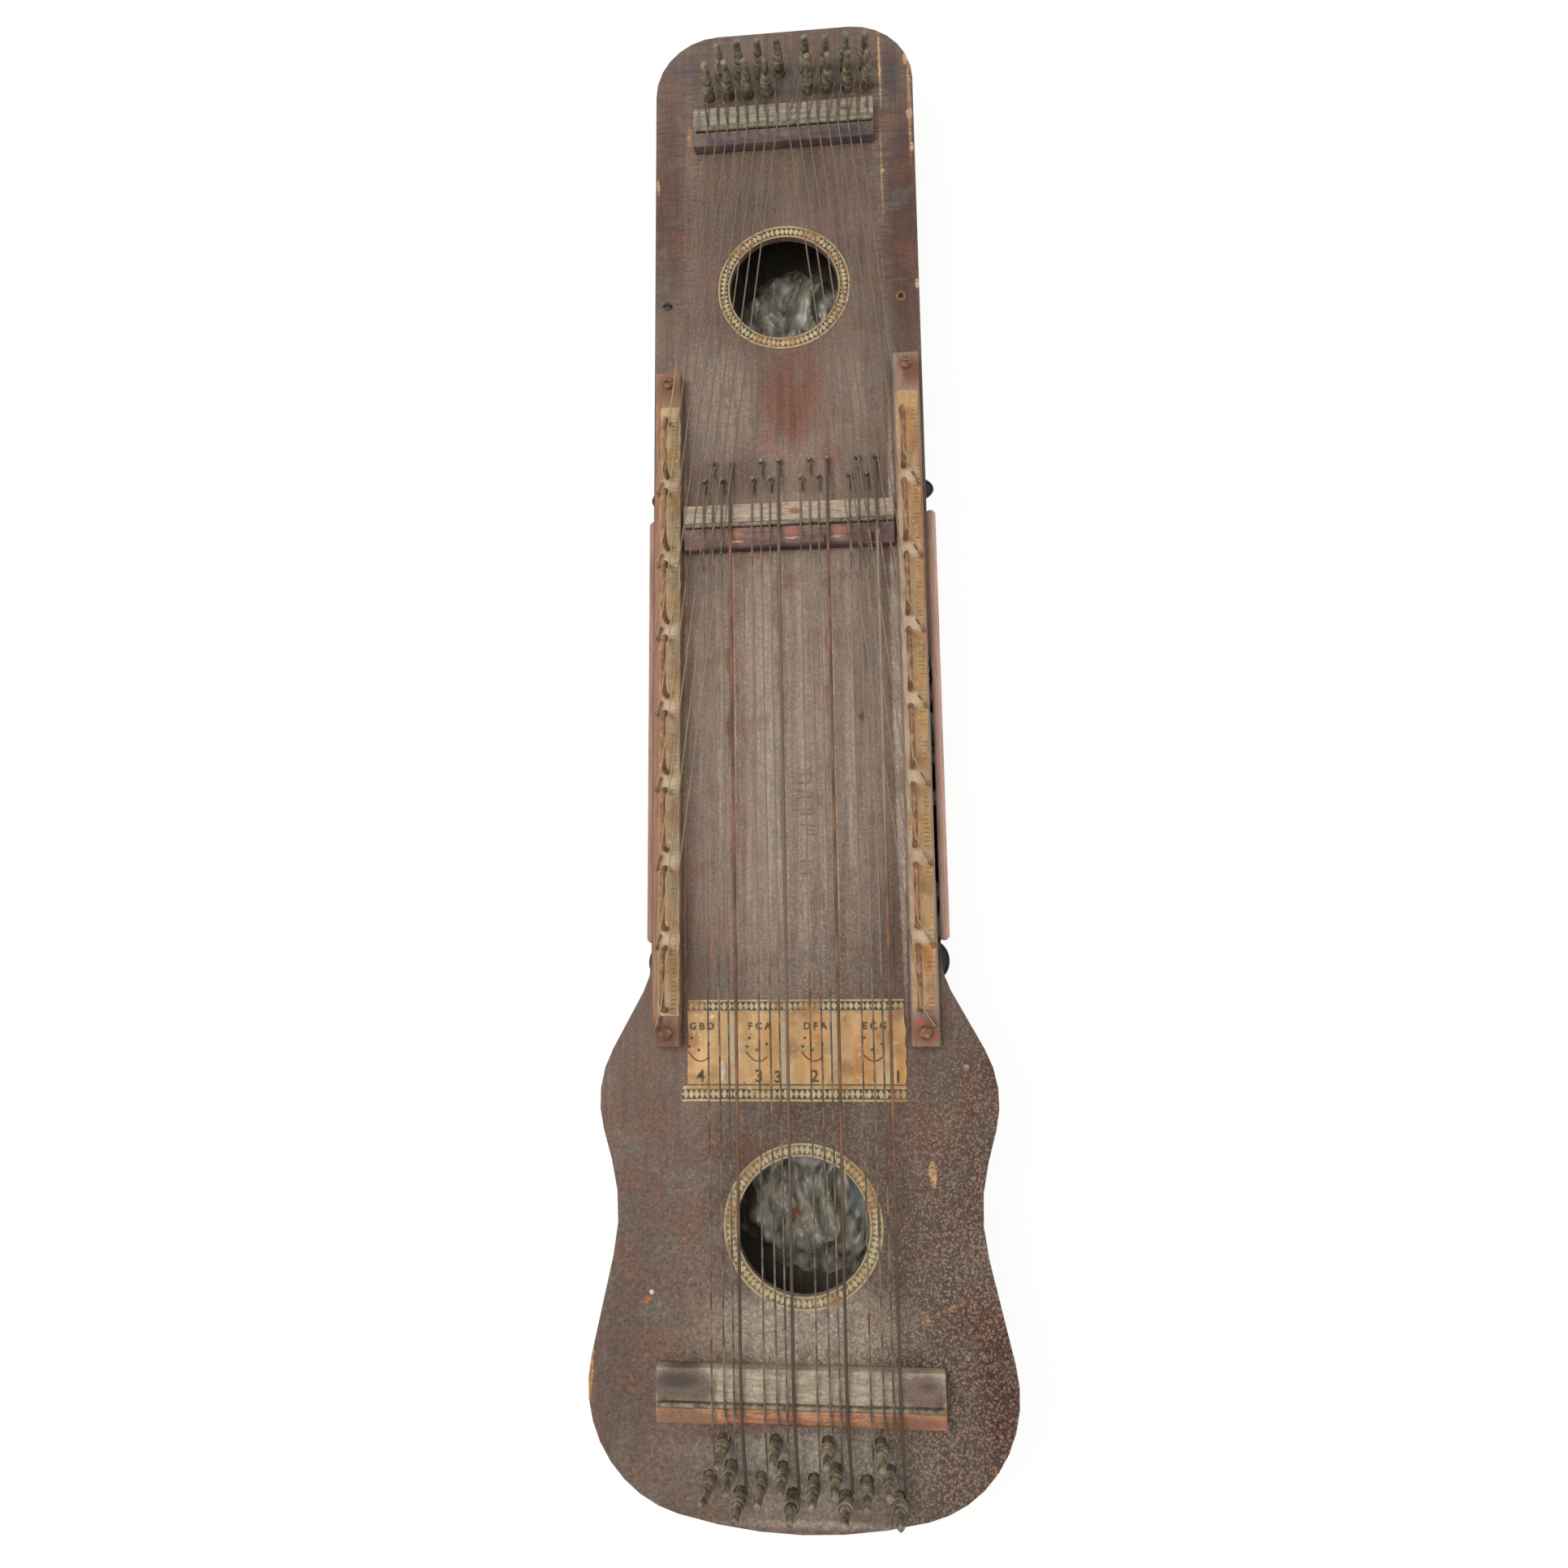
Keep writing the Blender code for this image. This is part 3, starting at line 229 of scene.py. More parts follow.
# Stained and embossed hardwood: dusty brown, redder where it is rubbed, with a satin sheen.
# Its grain is 1.6 mm wide, its crazing 1.2 mm and its pebbles 0.9 mm.
# The marks are in mm: place, half sizes, turn in degrees, colour, strength and how hard the edge is.
MARKS = (
    (0, -5, 62, 168, 0, "#9a8679", 0.95, 0.6),
    (0, 205, 58, 95, 0, "#7a665b", 0.6, 0),
    (-34, 148, 28, 46, 0, "#9b8a7d", 0.9, 0.25),
    (32, 150, 24, 54, 0, "#8f7d71", 0.85, 0.1),
    (2, -225, 58, 62, 0, "#7f7065", 0.7, 0),
    (3, -264, 56, 24, 0, "#b3a798", 0.95, 0.4),
    (3, -317, 57, 25, 0, "#a79f95", 0.9, 0.3),
    (2, 317, 54, 22, 0, "#5f574e", 0.85, 0.3),
    (-10, -20, 8, 125, 0.8, "#b3a291", 0.9, 0.2),
    (13, -60, 5, 100, 0, "#a8988a", 0.6, 0.2),
    (-33, 0, 3.4, 90, 0, "#ab9a8c", 0.55, 0.2),
    (31, 10, 9, 92, 0, "#7f6e63", 0.55, 0),
    (4, 110, 56, 15, 0, "#78675c", 0.75, 0),
    (2, 147, 19, 37, 0, "#775043", 1, 0.3),
    (-18, 112, 15, 17, 0, "#6c5852", 0.8, 0.1),
    (18, 120, 10, 14, 0, "#7c5a4c", 0.5, 0),
    (-26.2, -10, 2.6, 105, 0, "#7a5643", 0.75, 0),
    (-5, -10, 2.2, 105, 0, "#816353", 0.6, 0),
    (17.5, -20, 1.8, 100, 0, "#7f604e", 0.5, 0),
    (57, 235, 12, 95, 0, "#523a31", 0.95, 0.3),
    (-57, 250, 12, 92, 0, "#594036", 0.92, 0.3),
    (-48, 290, 5, 13, 0, "#86604c", 0.55, 0),
    (-46.6, 288, 1.8, 8, 0, "#b58c6c", 0.9, 0.2),
    (-47, 326, 14, 14, 0, "#584c52", 0.7, 0),
    (53, 316, 6, 24, 0, "#4a4046", 0.85, 0.1),
    (-62, -200, 24, 34, 0, "#75584c", 0.4, 0),
    (-68, -224, 28, 54, 0, "#62534c", 0.8, 0.1),
    (-72, -168, 22, 42, 0, "#664f43", 0.7, 0),
    (-74, -286, 26, 54, 0, "#5f4e45", 0.85, 0.2),
    (58, -186, 15, 17, 0, "#7d5645", 0.6, 0),
    (74, -178, 9, 16, 0, "#7a5040", 0.6, 0),
    (84, -160, 8, 22, 0, "#5f3a2f", 0.75, 0.1),
    (72, -266, 18, 26, 0, "#6b4536", 0.75, 0),
    (82, -290, 13, 60, 0, "#5f3b2f", 0.85, 0.2),
    (47.8, 6, 2.5, 158, 0, "#c6b6a6", 0.95, 0.6),
    # The pale line inside the left rail stands for the rail's wider edge, and is also painted light, brightened against
    # the rail's shadow.
    (-48.6, 6, 1.3, 156, 0, "#b39a84", 0.9, 0.6),
    (64.5, -254.5, 14, 1.8, 24, "#ab8058", 0.85, 0.1),
    (52.5, -260.3, 3, 2.2, 0, "#b58d68", 0.85, 0.3),
    (57.1, -202.4, 2, 6.4, 3, "#d2ab78", 1, 0.7),
    (60.2, -207, 0.9, 8, 2, "#8a6a40", 0.7, 0.3),
    (76.4, -204, 0.5, 9, 0, "#a9764c", 0.8, 0.3),
    (72.6, -158.6, 1.8, 1.6, 0, "#b7a79d", 0.9, 0.5),
    (69, -274.5, 1, 1, 0, "#d9c0a0", 1, 0.6),
    (-62.6, -251, 1.2, 1.2, 0, "#e2cdb8", 1, 0.6),
    (-64.7, -254, 2.6, 2.6, 0, "#b0713f", 0.75, 0.2),
    (-61.8, -200.6, 3, 1.6, 0, "#8c5a42", 0.8, 0.2),
    (31.7, -5.8, 2, 2.8, 0, "#54413a", 0.85, 0.4),
    (-20, 44, 0.5, 17, 1, "#c4b2a0", 0.9, 0.3),
    (40.3, 62, 0.6, 17, -1, "#c4b2a0", 0.9, 0.3),
    (47.6, 318, 0.75, 25, 0.4, "#dfb791", 1, 0.5),
    (47.2, 262, 0.5, 34, 0.6, "#c29672", 0.95, 0.5),
    (47.9, 263.2, 1, 1.3, 0, "#dcb78f", 1, 0.6),
    (46.6, 215, 0.3, 16, 0.6, "#a1775a", 0.7, 0.3),
    (61.6, 300, 1.3, 42, 0, "#c29a78", 0.75, 0.4),
    (61.4, 292.6, 1.7, 3.4, 0, "#dcbc98", 1, 0.6),
    (60.4, 323, 1.7, 4.2, -8, "#dcbc98", 1, 0.6),
    (62, 275, 1.3, 2.6, 0, "#dcbc98", 1, 0.6),
    (62.6, 203, 1.2, 3, 0, "#d6b08a", 1, 0.6),
    (-62.3, 262, 1, 6, 0, "#c9a07c", 0.8, 0.4),
    (-88.4, -283, 1.5, 17, -2, "#b58450", 0.95, 0.4),
    (79, -318.5, 1.6, 1.2, 0, "#d9b48c", 0.9, 0.5),
    (6, -339, 56, 2.6, 0, "#a99e93", 0.75, 0.1),
    (56.5, 161.5, 3, 6, 0, "#9c7350", 0.7, 0.2),
    # Painted shadow: the black of the gap between the face's right edge and the side strip.
    (62.9, -44, 1.2, 84, 0, "#0b0807", 1, 0.7),
    (54.7, 197.2, 2.7, 2.8, 0, "#a97a50", 1, 0.6),
    # Painted shade: the dark middle of the small hole on the right and the black spot of the one on the left.
    (54.7, 197.2, 1.9, 2.0, 0, "#3a2015", 1, 0.6),
    (-57.3, 198.7, 2.8, 2.8, 0, "#060504", 1, 0.7),
)


def stained_hardwood(name, marks=()):
    made, tree, shader, place = new_material(name)
    wavy = ragged(tree, place, 0.012, 0.0024)
    soft = ragged(tree, place, 0.014, 0.014)
    edge = ragged(tree, place, 0.003, 0.0014)
    broad = add(tree, "TexNoise", None, {"Vector": place, "Scale": 30.0, "Detail": 4.0})
    tint = add(tree, "TexNoise", None, {"Vector": place, "Scale": 75.0, "Detail": 4.0})
    grain = stretched(tree, wavy, 0.0016, 0.040)
    streaks = stretched(tree, place, 0.0034, 0.300, 2.0)
    crazing = stretched(tree, wavy, 0.011, 0.0012)
    cells = add(tree, "TexVoronoi", None, {"Vector": ragged(tree, place, 0.003, 0.0018), "Scale": 900.0}).node.outputs
    mottle = add(tree, "TexNoise", None, {"Vector": place, "Scale": 560.0, "Detail": 5.0, "Roughness": 0.8})
    fine = add(tree, "TexNoise", None, {"Vector": place, "Scale": 800.0, "Detail": 4.0, "Roughness": 0.75})

    colour = overlaid(tree, linear("#66544a"), "#7d695d", broad, 0.3, 0.7)
    for x, y, across, along, turn, code, strength, hard in marks:
        share = spot(tree, edge if hard else soft, (x, y), (across, along), hard, turn)
        colour = overlaid(tree, colour, code, share, strength=strength)
    colour = overlaid(tree, colour, "#7f5040", tint, 0.53, 0.66, 0.38)
    colour = overlaid(tree, colour, "#73746a", tint, 0.44, 0.30, 0.4)

    if marks:
        neck = spot(tree, soft, (-2, -25), (60, 130), 0.5)
        dusty = add(tree, "Math", {"operation": "MULTIPLY"}, {0: neck, 1: streaks})
        colour = overlaid(tree, colour, "#b3a292", dusty, 0.50, 0.64, 0.6)
    # The lower half is mottled rather than grained.
    bout = spot(tree, soft, (0, -265), (130, 165), 0.5)
    soft_grain = add(tree, "MapRange", None, {0: bout, 3: 1.0, 4: 0.3})
    level = add(tree, "MapRange", None, {0: grain, 1: 0.32, 2: 0.68, 3: -0.2, 4: 0.2})
    level = add(tree, "Math", {"operation": "MULTIPLY_ADD"}, {0: level, 1: soft_grain, 2: 1.0})
    colour = add(tree, "VectorMath", {"operation": "SCALE"}, {0: colour, "Scale": level})
    spread = add(tree, "MapRange", None, {0: bout, 3: 0.35, 4: 1.8})
    level = add(tree, "MapRange", {"clamp": False}, {0: mottle, 1: 0.3, 2: 0.7, 3: -0.3, 4: 0.3})
    level = add(tree, "Math", {"operation": "MULTIPLY_ADD"}, {0: level, 1: spread, 2: 1.0})
    colour = add(tree, "VectorMath", {"operation": "SCALE"}, {0: colour, "Scale": level})
    middle_of_head = spot(tree, soft, (0, 205), (47, 170), 0.8)
    head = spot(tree, soft, (0, 265), (110, 130), 0.6)
    crazed = add(tree, "MapRange", None, {0: head, 3: 0.4, 4: 1.0})
    crazed = add(tree, "Math", {"operation": "MULTIPLY"}, {0: crazed, 1: add(tree, "MapRange", None, {0: middle_of_head, 3: 1.0, 4: 0.4})})
    crazed = add(tree, "Math", {"operation": "MAXIMUM"}, {0: crazed, 1: spot(tree, soft, (6, -50), (9, 75), 0.3)})
    crazed = add(tree, "Math", {"operation": "MULTIPLY"}, {0: crazed, 1: crazing})
    colour = overlaid(tree, colour, "#3f2f29", crazed, 0.50, 0.64, 0.5)

    pebbled = spot(tree, soft, (90, -280), (86, 215), 0.35)
    finer = add(tree, "Math", {"operation": "MULTIPLY"}, {0: spot(tree, soft, (12, -190), (50, 150), 0.3), 1: 0.45})
    pebbled = add(tree, "Math", {"operation": "MAXIMUM"}, {0: pebbled, 1: finer})
    # The pebbles' tops are painted lighter and their hollows darker: painted light and painted shade on the embossing.
    hills = add(tree, "MapRange", None, {0: cells["Distance"], 1: 0.66, 2: 0.16})
    lit = add(tree, "SeparateColor", None, {0: cells["Color"]})
    lit = add(tree, "Math", {"operation": "MULTIPLY"}, {0: lit, 1: hills})
    lit = add(tree, "Math", {"operation": "MULTIPLY"}, {0: lit, 1: mottle})
    lit = add(tree, "Math", {"operation": "MULTIPLY"}, {0: lit, 1: pebbled})
    depth = add(tree, "MapRange", None, {0: pebbled, 3: 0.9, 4: 0.5})
    depth = add(tree, "MapRange", None, {0: hills, 1: 0.1, 2: 0.8, 3: depth, 4: 1.2})
    colour = add(tree, "VectorMath", {"operation": "SCALE"}, {0: colour, "Scale": depth})
    colour = overlaid(tree, colour, "#a48c7b", lit, 0.05, 0.34, 0.7)
    colour = varied(tree, colour, fine, 0.3, 0.7, 0.78, 1.24)
    tree.links.new(colour, shader.inputs["Base Color"])

    height = add(tree, "Math", {"operation": "ADD"}, {0: hills, 1: fine})
    height = add(tree, "Math", {"operation": "MULTIPLY_ADD"}, {0: grain, 1: 0.8, 2: height})
    relief = add(tree, "Bump", None, {"Strength": 0.5, "Distance": 0.0003, "Height": height})
    tree.links.new(relief, shader.inputs["Normal"])
    tree.links.new(add(tree, "MapRange", None, {0: fine, 3: 0.42, 4: 0.7}), shader.inputs["Roughness"])
    # No light comes back out of the nearly black colours: the painted shadow of the gap beside the right rail and the
    # painted shade of the small holes.
    bright = add(tree, "RGBToBW", None, {"Color": colour})
    tree.links.new(add(tree, "MapRange", None, {0: bright, 1: 0.01, 2: 0.04, 4: 0.4}), shader.inputs["Specular IOR Level"])
    return made


def bare_hardwood(name, light, dark, spots=(), roughness=0.7):
    """Unstained or worn wood: long grain 0.8 mm wide between two colours, and stains on it."""
    made, tree, shader, place = new_material(name)
    wavy = ragged(tree, place, 0.012, 0.004)
    edge = ragged(tree, place, 0.004, 0.003)
    grain = stretched(tree, wavy, 0.0008, 0.016, 4.0)
    colour = overlaid(tree, linear(light), dark, grain, 0.35, 0.65)
    for centre, reach, code, strength in spots:
        colour = overlaid(tree, colour, code, spot(tree, edge, centre, reach, 0.2), strength=strength)
    tree.links.new(colour, shader.inputs["Base Color"])
    shader.inputs["Roughness"].default_value = roughness
    relief = add(tree, "Bump", None, {"Strength": 0.4, "Distance": 0.0002, "Height": grain})
    tree.links.new(relief, shader.inputs["Normal"])
    return made


face_wood = stained_hardwood("stained_embossed_hardwood_face", MARKS)
side_wood = stained_hardwood("stained_hardwood_sides")
# Sixty years of dust on bare wood, painted darker still as the shade inside the box.
inner_wood = bare_hardwood("dusty_hardwood_inside_painted_dark", "#635d54", "#423e38")

# Centre, radius and the outside of the printed ring round it, in metres.
HOLES = (((-0.001, 0.2053), 0.026, 0.0318), ((0.002, -0.2237), 0.028, 0.0338))

board = copied("sound_board", FACE + 0.00001)
for (x, y), radius, _ in HOLES:
    wall = []
    for edge in board.edges:
        away = [math.hypot(vert.co.x - x, vert.co.y - y) for vert in edge.verts]
        if max(abs(reach - radius) for reach in away) < 0.0004 and abs(edge.verts[0].co.z - edge.verts[1].co.z) < 0.0001:
            wall.append(edge)
    bmesh.ops.subdivide_edges(board, edges=wall, cuts=3, use_grid_fill=True)
    for vert in board.verts:
        away = Vector((vert.co.x - x, vert.co.y - y, 0.0))
        if abs(away.length - radius) < 0.0004:
            vert.co += away.normalized() * (radius - away.length)
rims = []
for edge in board.edges:
    if edge.is_manifold and edge.calc_face_angle() > 0.4 and all(abs(v.co.z - FACE) < 0.0001 for v in edge.verts):
        rims.append(edge)
rounded(board, RIM, 2, rims)
for side in board.faces:
    if side.normal.z < -0.9:
        side.material_index = 1
piece("face_board", board, [face_wood, inner_wood], ["sound_board"])

back = copied("back_board")
rounded(back, RIM, 2)
for side in back.faces:
    if side.normal.z > 0.9:
        side.material_index = 1
piece("back_panel", back, [side_wood, inner_wood], ["back_board"])

for side in ("left", "right"):
    piece("bent_side_" + side, copied("side_" + side), [side_wood], ["side_" + side])
for block in ("hitch_block", "top_brace"):
    piece("inner_" + block, rounded(copied(block), 0.0008, 2), [inner_wood], [block])
for block, out in (("head_block", 1), ("tail_block", -1)):
    solid = rounded(copied(block), 0.0008, 2)
    for side in solid.faces:
        if side.normal.y * out < -0.5:
            side.material_index = 1
    piece("end_" + block, solid, [side_wood, inner_wood], [block])

# Crumpled film
# A thin clear wrapping, greyed with dust, that lies crumpled on the inside of the back.
# It shows through both sound holes.

film, tree, shader, place = new_material("crumpled_plastic_film")
folds = ragged(tree, place, 0.012, 0.008)
streak = stretched(tree, folds, 0.005, 0.014, 4.0)
colour = overlaid(tree, linear("#484840"), "#aeaa9c", streak, 0.34, 0.61)
# The palest streaks, the glints and the white patch at the top of the lower hole are painted highlights.
colour = overlaid(tree, colour, "#eef0ee", streak, 0.61, 0.70, 0.8)
glints = stretched(tree, folds, 0.0022, 0.0050, 3.0)
glints = add(tree, "Math", {"operation": "MULTIPLY"}, {0: glints, 1: spot(tree, folds, (-18, 213), (8, 15), 0.1)})
colour = overlaid(tree, colour, "#dfe5e4", glints, 0.36, 0.50, 0.9)
colour = overlaid(tree, colour, "#f4f7f8", spot(tree, folds, (3, -203), (10, 3.5), 0.2), strength=0.9)
colour = overlaid(tree, colour, "#8c989d", spot(tree, folds, (25, -218), (6, 16), 0.2), strength=0.6)
colour = overlaid(tree, colour, "#8f4f22", spot(tree, folds, (-3.6, -226), (4.5, 4.0), 0.2), strength=0.9)
tree.links.new(colour, shader.inputs["Base Color"])
shader.inputs["Roughness"].default_value = 0.25
shader.inputs["IOR"].default_value = 1.5


def crumpled(low, high, edge_at):
    """A sheet lying in creases between two corners, without what the edge function leaves off.

    It comes with the area that the film has when it is smoothed out flat.
    """
    sheet = bmesh.new()
    bmesh.ops.create_grid(sheet, x_segments=100, y_segments=100, size=0.5)
    for vert in sheet.verts:
        x = low[0] + (vert.co.x + 0.5) * (high[0] - low[0])
        y = low[1] + (vert.co.y + 0.5) * (high[1] - low[1])
        bend = 0.006 * noise.noise((x * 40, y * 40, 7.0))
        crease = 1 - abs(noise.noise(((x + bend) * 70, y * 34, 1.0))) * 2.4
        small = 1 - abs(noise.noise((x * 190 + crease, (y + bend) * 120, 4.0))) * 2.0
        lying = min(1.0, max(0.0, edge_at(Vector((x, y, 0.0))) / 0.013))
        lying = lying * lying * (3 - 2 * lying)
        vert.co = Vector((x, y, 0.0045 + lying * (0.004 + 0.007 * crease * crease + 0.0018 * small)))
    gone = [face for face in sheet.faces if edge_at(face.calc_center_median()) < 0]
    bmesh.ops.delete(sheet, geom=gone, context="FACES")
    for _ in range(3):
        bmesh.ops.smooth_vert(sheet, verts=sheet.verts, factor=0.4, use_axis_x=True, use_axis_y=True, use_axis_z=True)
    area = sum(face.calc_area() for face in sheet.faces)
    bmesh.ops.solidify(sheet, geom=sheet.faces[:], thickness=0.0001)
    return sheet, area


def upper_edge(place):
    wander = 0.003 * noise.noise((place.x * 90, place.y * 90, 2.0))
    return min(0.238 - 28 * (place.x - 0.002) ** 2 + wander - place.y, place.x + 0.029 + 0.12 * (0.205 - place.y) + wander)


def lower_edge(place):
    wander = 0.004 * noise.noise((place.x * 120, place.y * 120, 5.0))
    return min(place.x + 0.035 + wander - 1.1 * max(0.0, -0.228 - place.y), place.y + 0.2525 + wander)


for name, low, high, edge_at in (
    ("film_upper", (-0.045, 0.165), (0.045, 0.245), upper_edge),
    ("film_lower", (-0.045, -0.27), (0.045, -0.18), lower_edge),
):
    sheet, area = crumpled(low, high, edge_at)
    sheet = piece(name, sheet, [film], ())
    side = 1.1 * math.sqrt(area)

# Printed rings and chart
# Gold and brown transfers glued round both sound holes, with a band of dots between two lines.
# The chart is a yellowed paper with four panels, one for each group of chord strings.


def ornament(tree, along, across):
    """A printed band: a gold line on each side, and pale lozenges on brown between them."""
    cell = add(tree, "Math", {"operation": "PINGPONG"}, {0: along, 1: 0.5})
    middle = add(tree, "Math", {"operation": "SUBTRACT"}, {0: across, 1: 0.5})
    middle = add(tree, "Math", {"operation": "ABSOLUTE"}, {0: middle})
    lozenge = add(tree, "Math", {"operation": "MULTIPLY_ADD"}, {0: middle, 1: 1.5, 2: cell})
    colour = overlaid(tree, linear("#453c29"), "#d0be94", lozenge, 0.56, 0.42)
    colour = overlaid(tree, colour, "#4a3d28", middle, 0.27, 0.30)
    colour = overlaid(tree, colour, "#c6b28a", middle, 0.33, 0.36)
    return overlaid(tree, colour, "#8d7443", middle, 0.45, 0.5, 0.7)


def aged_print(tree, shader, place, colour, loss):
    """Wear on a print: brown stains, pale rubs, and small losses that show the wood under it."""
    stain = add(tree, "TexNoise", None, {"Vector": place, "Scale": 90.0, "Detail": 4.0})
    colour = overlaid(tree, colour, "#9c6f3f", stain, 0.48, 0.66, 0.7)
    speck = add(tree, "TexNoise", None, {"Vector": place, "Scale": 420.0, "Detail": 4.0, "Roughness": 0.7})
    colour = overlaid(tree, colour, "#eadcb4", speck, 0.42, 0.32, 0.6)
    colour = overlaid(tree, colour, "#6a5445", speck, 0.66 - loss, 0.72 - loss, 0.85)
    tree.links.new(colour, shader.inputs["Base Color"])
    shader.inputs["Roughness"].default_value = 0.55
    relief = add(tree, "Bump", None, {"Strength": 0.3, "Distance": 0.0001, "Height": speck})
    tree.links.new(relief, shader.inputs["Normal"])


for name, pale, ((x, y), inner, outer) in zip(("upper", "lower"), (0.0, 0.2), HOLES):
    printed, tree, shader, place = new_material(f"printed_gold_ring_{name}")
    centred = add(tree, "Mapping", None, {"Vector": place, "Location": (-x, -y, 0.0), "Scale": (1.0, 1.0, 0.0)})
    parts = add(tree, "SeparateXYZ", None, {0: ragged(tree, centred, 0.005, 0.0016)}).node.outputs
    turn = add(tree, "Math", {"operation": "ARCTAN2"}, {0: parts["Y"], 1: parts["X"]})
    count = round(math.tau * (inner + outer) / 2 / 0.0023)
    along = add(tree, "Math", {"operation": "MULTIPLY"}, {0: turn, 1: count / math.tau})
    away = add(tree, "VectorMath", {"operation": "LENGTH"}, {0: centred}).node.outputs["Value"]
    across = add(tree, "MapRange", {"clamp": False}, {0: away, 1: inner, 2: outer})
    faded = overlaid(tree, ornament(tree, along, across), "#d9cda8", 1.0, strength=pale)
    aged_print(tree, shader, place, faded, 0.08)
    ring = bmesh.new()
    profile = [(inner + 0.0003, 0.0), (outer, 0.0), (outer, 0.00012), (inner + 0.0003, 0.00012)]
    corners = [ring.verts.new((x + across_by, y, FACE + up)) for across_by, up in profile]
    loop = [ring.edges.new((corners[i], corners[(i + 1) % 4])) for i in range(4)]
    bmesh.ops.spin(ring, geom=corners + loop, cent=(x, y, 0), axis=(0, 0, 1), angle=math.tau, steps=120, use_merge=True)
    bmesh.ops.remove_doubles(ring, verts=ring.verts, dist=0.00001)
    bmesh.ops.recalc_face_normals(ring, faces=ring.faces)
    piece(f"{name}_ring", ring, [printed], ())

CHART = ((-0.0471, -0.1299), (0.047, -0.1729))
PANELS = (-0.0425, -0.0172, 0.0069, 0.0325)

printed, tree, shader, place = new_material("yellowed_printed_chart")
parts = add(tree, "SeparateXYZ", None, {0: ragged(tree, place, 0.006, 0.0006)}).node.outputs
edge = ragged(tree, place, 0.004, 0.002)
paper = stretched(tree, place, 0.004, 0.02)
colour = overlaid(tree, linear("#cda169"), "#e3bc8b", paper, 0.35, 0.65)
for x, y, across, along, code, strength in (
    (-12, -151, 7, 24, "#cf8b41", 0.6),
    (8, -150, 7, 26, "#cf8940", 0.65),
    (28, -156, 6, 24, "#cb8238", 0.75),
    (45, -160, 3, 16, "#cf8f2f", 0.8),
    (-2, -151, 52, 3.4, "#a8936a", 0.6),
):
    colour = overlaid(tree, colour, code, spot(tree, edge, (x, y), (across, along)), strength=strength)
for middle, strength in ((-0.0281, 0.85), (-0.0050, 0.8), (0.0172, 0.75), (0.0395, 0.5)):
    away = add(tree, "Math", {"operation": "SUBTRACT"}, {0: parts["X"], 1: middle})
    away = add(tree, "Math", {"operation": "ABSOLUTE"}, {0: away})
    colour = overlaid(tree, colour, "#c6b494", away, 0.0022, 0.0017, strength)
for low, high in ((-0.1356, -0.1299), (-0.1729, -0.1666)):
    across = add(tree, "MapRange", {"clamp": False}, {0: parts["Y"], 1: low, 2: high})
    inside = add(tree, "Math", {"operation": "COMPARE"}, {0: across, 1: 0.5, 2: 0.5})
    along = add(tree, "Math", {"operation": "MULTIPLY"}, {0: parts["X"], 1: 1 / 0.0024})
    band = ornament(tree, along, across)
    colour = add(tree, "Mix", {"data_type": "RGBA"}, {0: inside, 6: colour, 7: band})
colour = overlaid(tree, colour, "#eeeae4", spot(tree, edge, (-32.2, -160), (1.7, 5.5), 0.4))
colour = overlaid(tree, colour, "#f0d9b4", spot(tree, edge, (-36.5, -137), (2, 1.2), 0.3))
aged_print(tree, shader, place, colour, 0.0)

sheet = bmesh.new()
(left, top), (right, bottom) = CHART
bmesh.ops.create_grid(sheet, x_segments=40, y_segments=16, size=0.5)
for vert in sheet.verts:
    x = left + (vert.co.x + 0.5) * (right - left)
    y = bottom + (vert.co.y + 0.5) * (top - bottom)
    lift = 0.00012 * (1 + noise.noise((x * 160, y * 160, 0.0)))
    vert.co = Vector((x, y, FACE + 0.0002 + lift))
    if min(x - left, right - x) < 0.0001 and top - 0.005 > y > bottom + 0.006:
        vert.co.x += 0.0007 * noise.noise((x * 200, y * 300, 3.0))
    if y < -0.1665 and abs(x - left) < 0.0001:
        vert.co.x -= 0.0026
bmesh.ops.solidify(sheet, geom=sheet.faces[:], thickness=0.0001)
piece("chart", sheet, [printed], ["chart_label"])

# Printing ink, faded to a dark olive brown.
ink, tree, shader, place = new_material("faded_printing_ink")
worn = add(tree, "TexNoise", None, {"Vector": place, "Scale": 600.0, "Detail": 3.0})
tree.links.new(overlaid(tree, linear("#4c4430"), "#86693f", worn, 0.45, 0.7), shader.inputs["Base Color"])
shader.inputs["Roughness"].default_value = 0.7


def lettering(name, rows, level, turn=0.0):
    """Printed characters as one thin piece. Each row is its words, their middle and their height."""
    sheet = bmesh.new()
    for words, x, y, height in rows:
        font = bpy.data.curves.new("words", "FONT")
        font.body, font.size, font.resolution_u = words, height * 1.4, 3
        font.align_x, font.align_y = "CENTER", "CENTER"
        font.extrude, font.offset = 0.00002, 0.00012
        holder = bpy.data.objects.new("words", font)
        flat = bpy.data.meshes.new_from_object(holder)
        flat.transform(Matrix.Translation((x, y, level)) @ Matrix.Rotation(turn, 4, "Z"))
        sheet.from_mesh(flat)
        bpy.data.objects.remove(holder)
        bpy.data.meshes.remove(flat)
    bmesh.ops.remove_doubles(sheet, verts=sheet.verts, dist=0.000003)
    bmesh.ops.dissolve_degenerate(sheet, edges=sheet.edges, dist=0.000001)
    return piece(name, sheet, [ink], ())


def wire(name, routes, radius, finishes, stands_for=(), body="box"):
    """Round wires along routes of points, as one curve with closed ends."""
    strands = bpy.data.curves.new(name, "CURVE")
    strands.dimensions = "3D"
    strands.bevel_depth = radius
    strands.bevel_resolution = 2
    strands.use_fill_caps = True
    for route in routes:
        strand = strands.splines.new("POLY")
        strand.points.add(len(route) - 1)
        for point, place in zip(strand.points, route):
            point.co = (*place, 1.0)
        strand.use_smooth = True
    return piece(name, strands, finishes, stands_for, body)


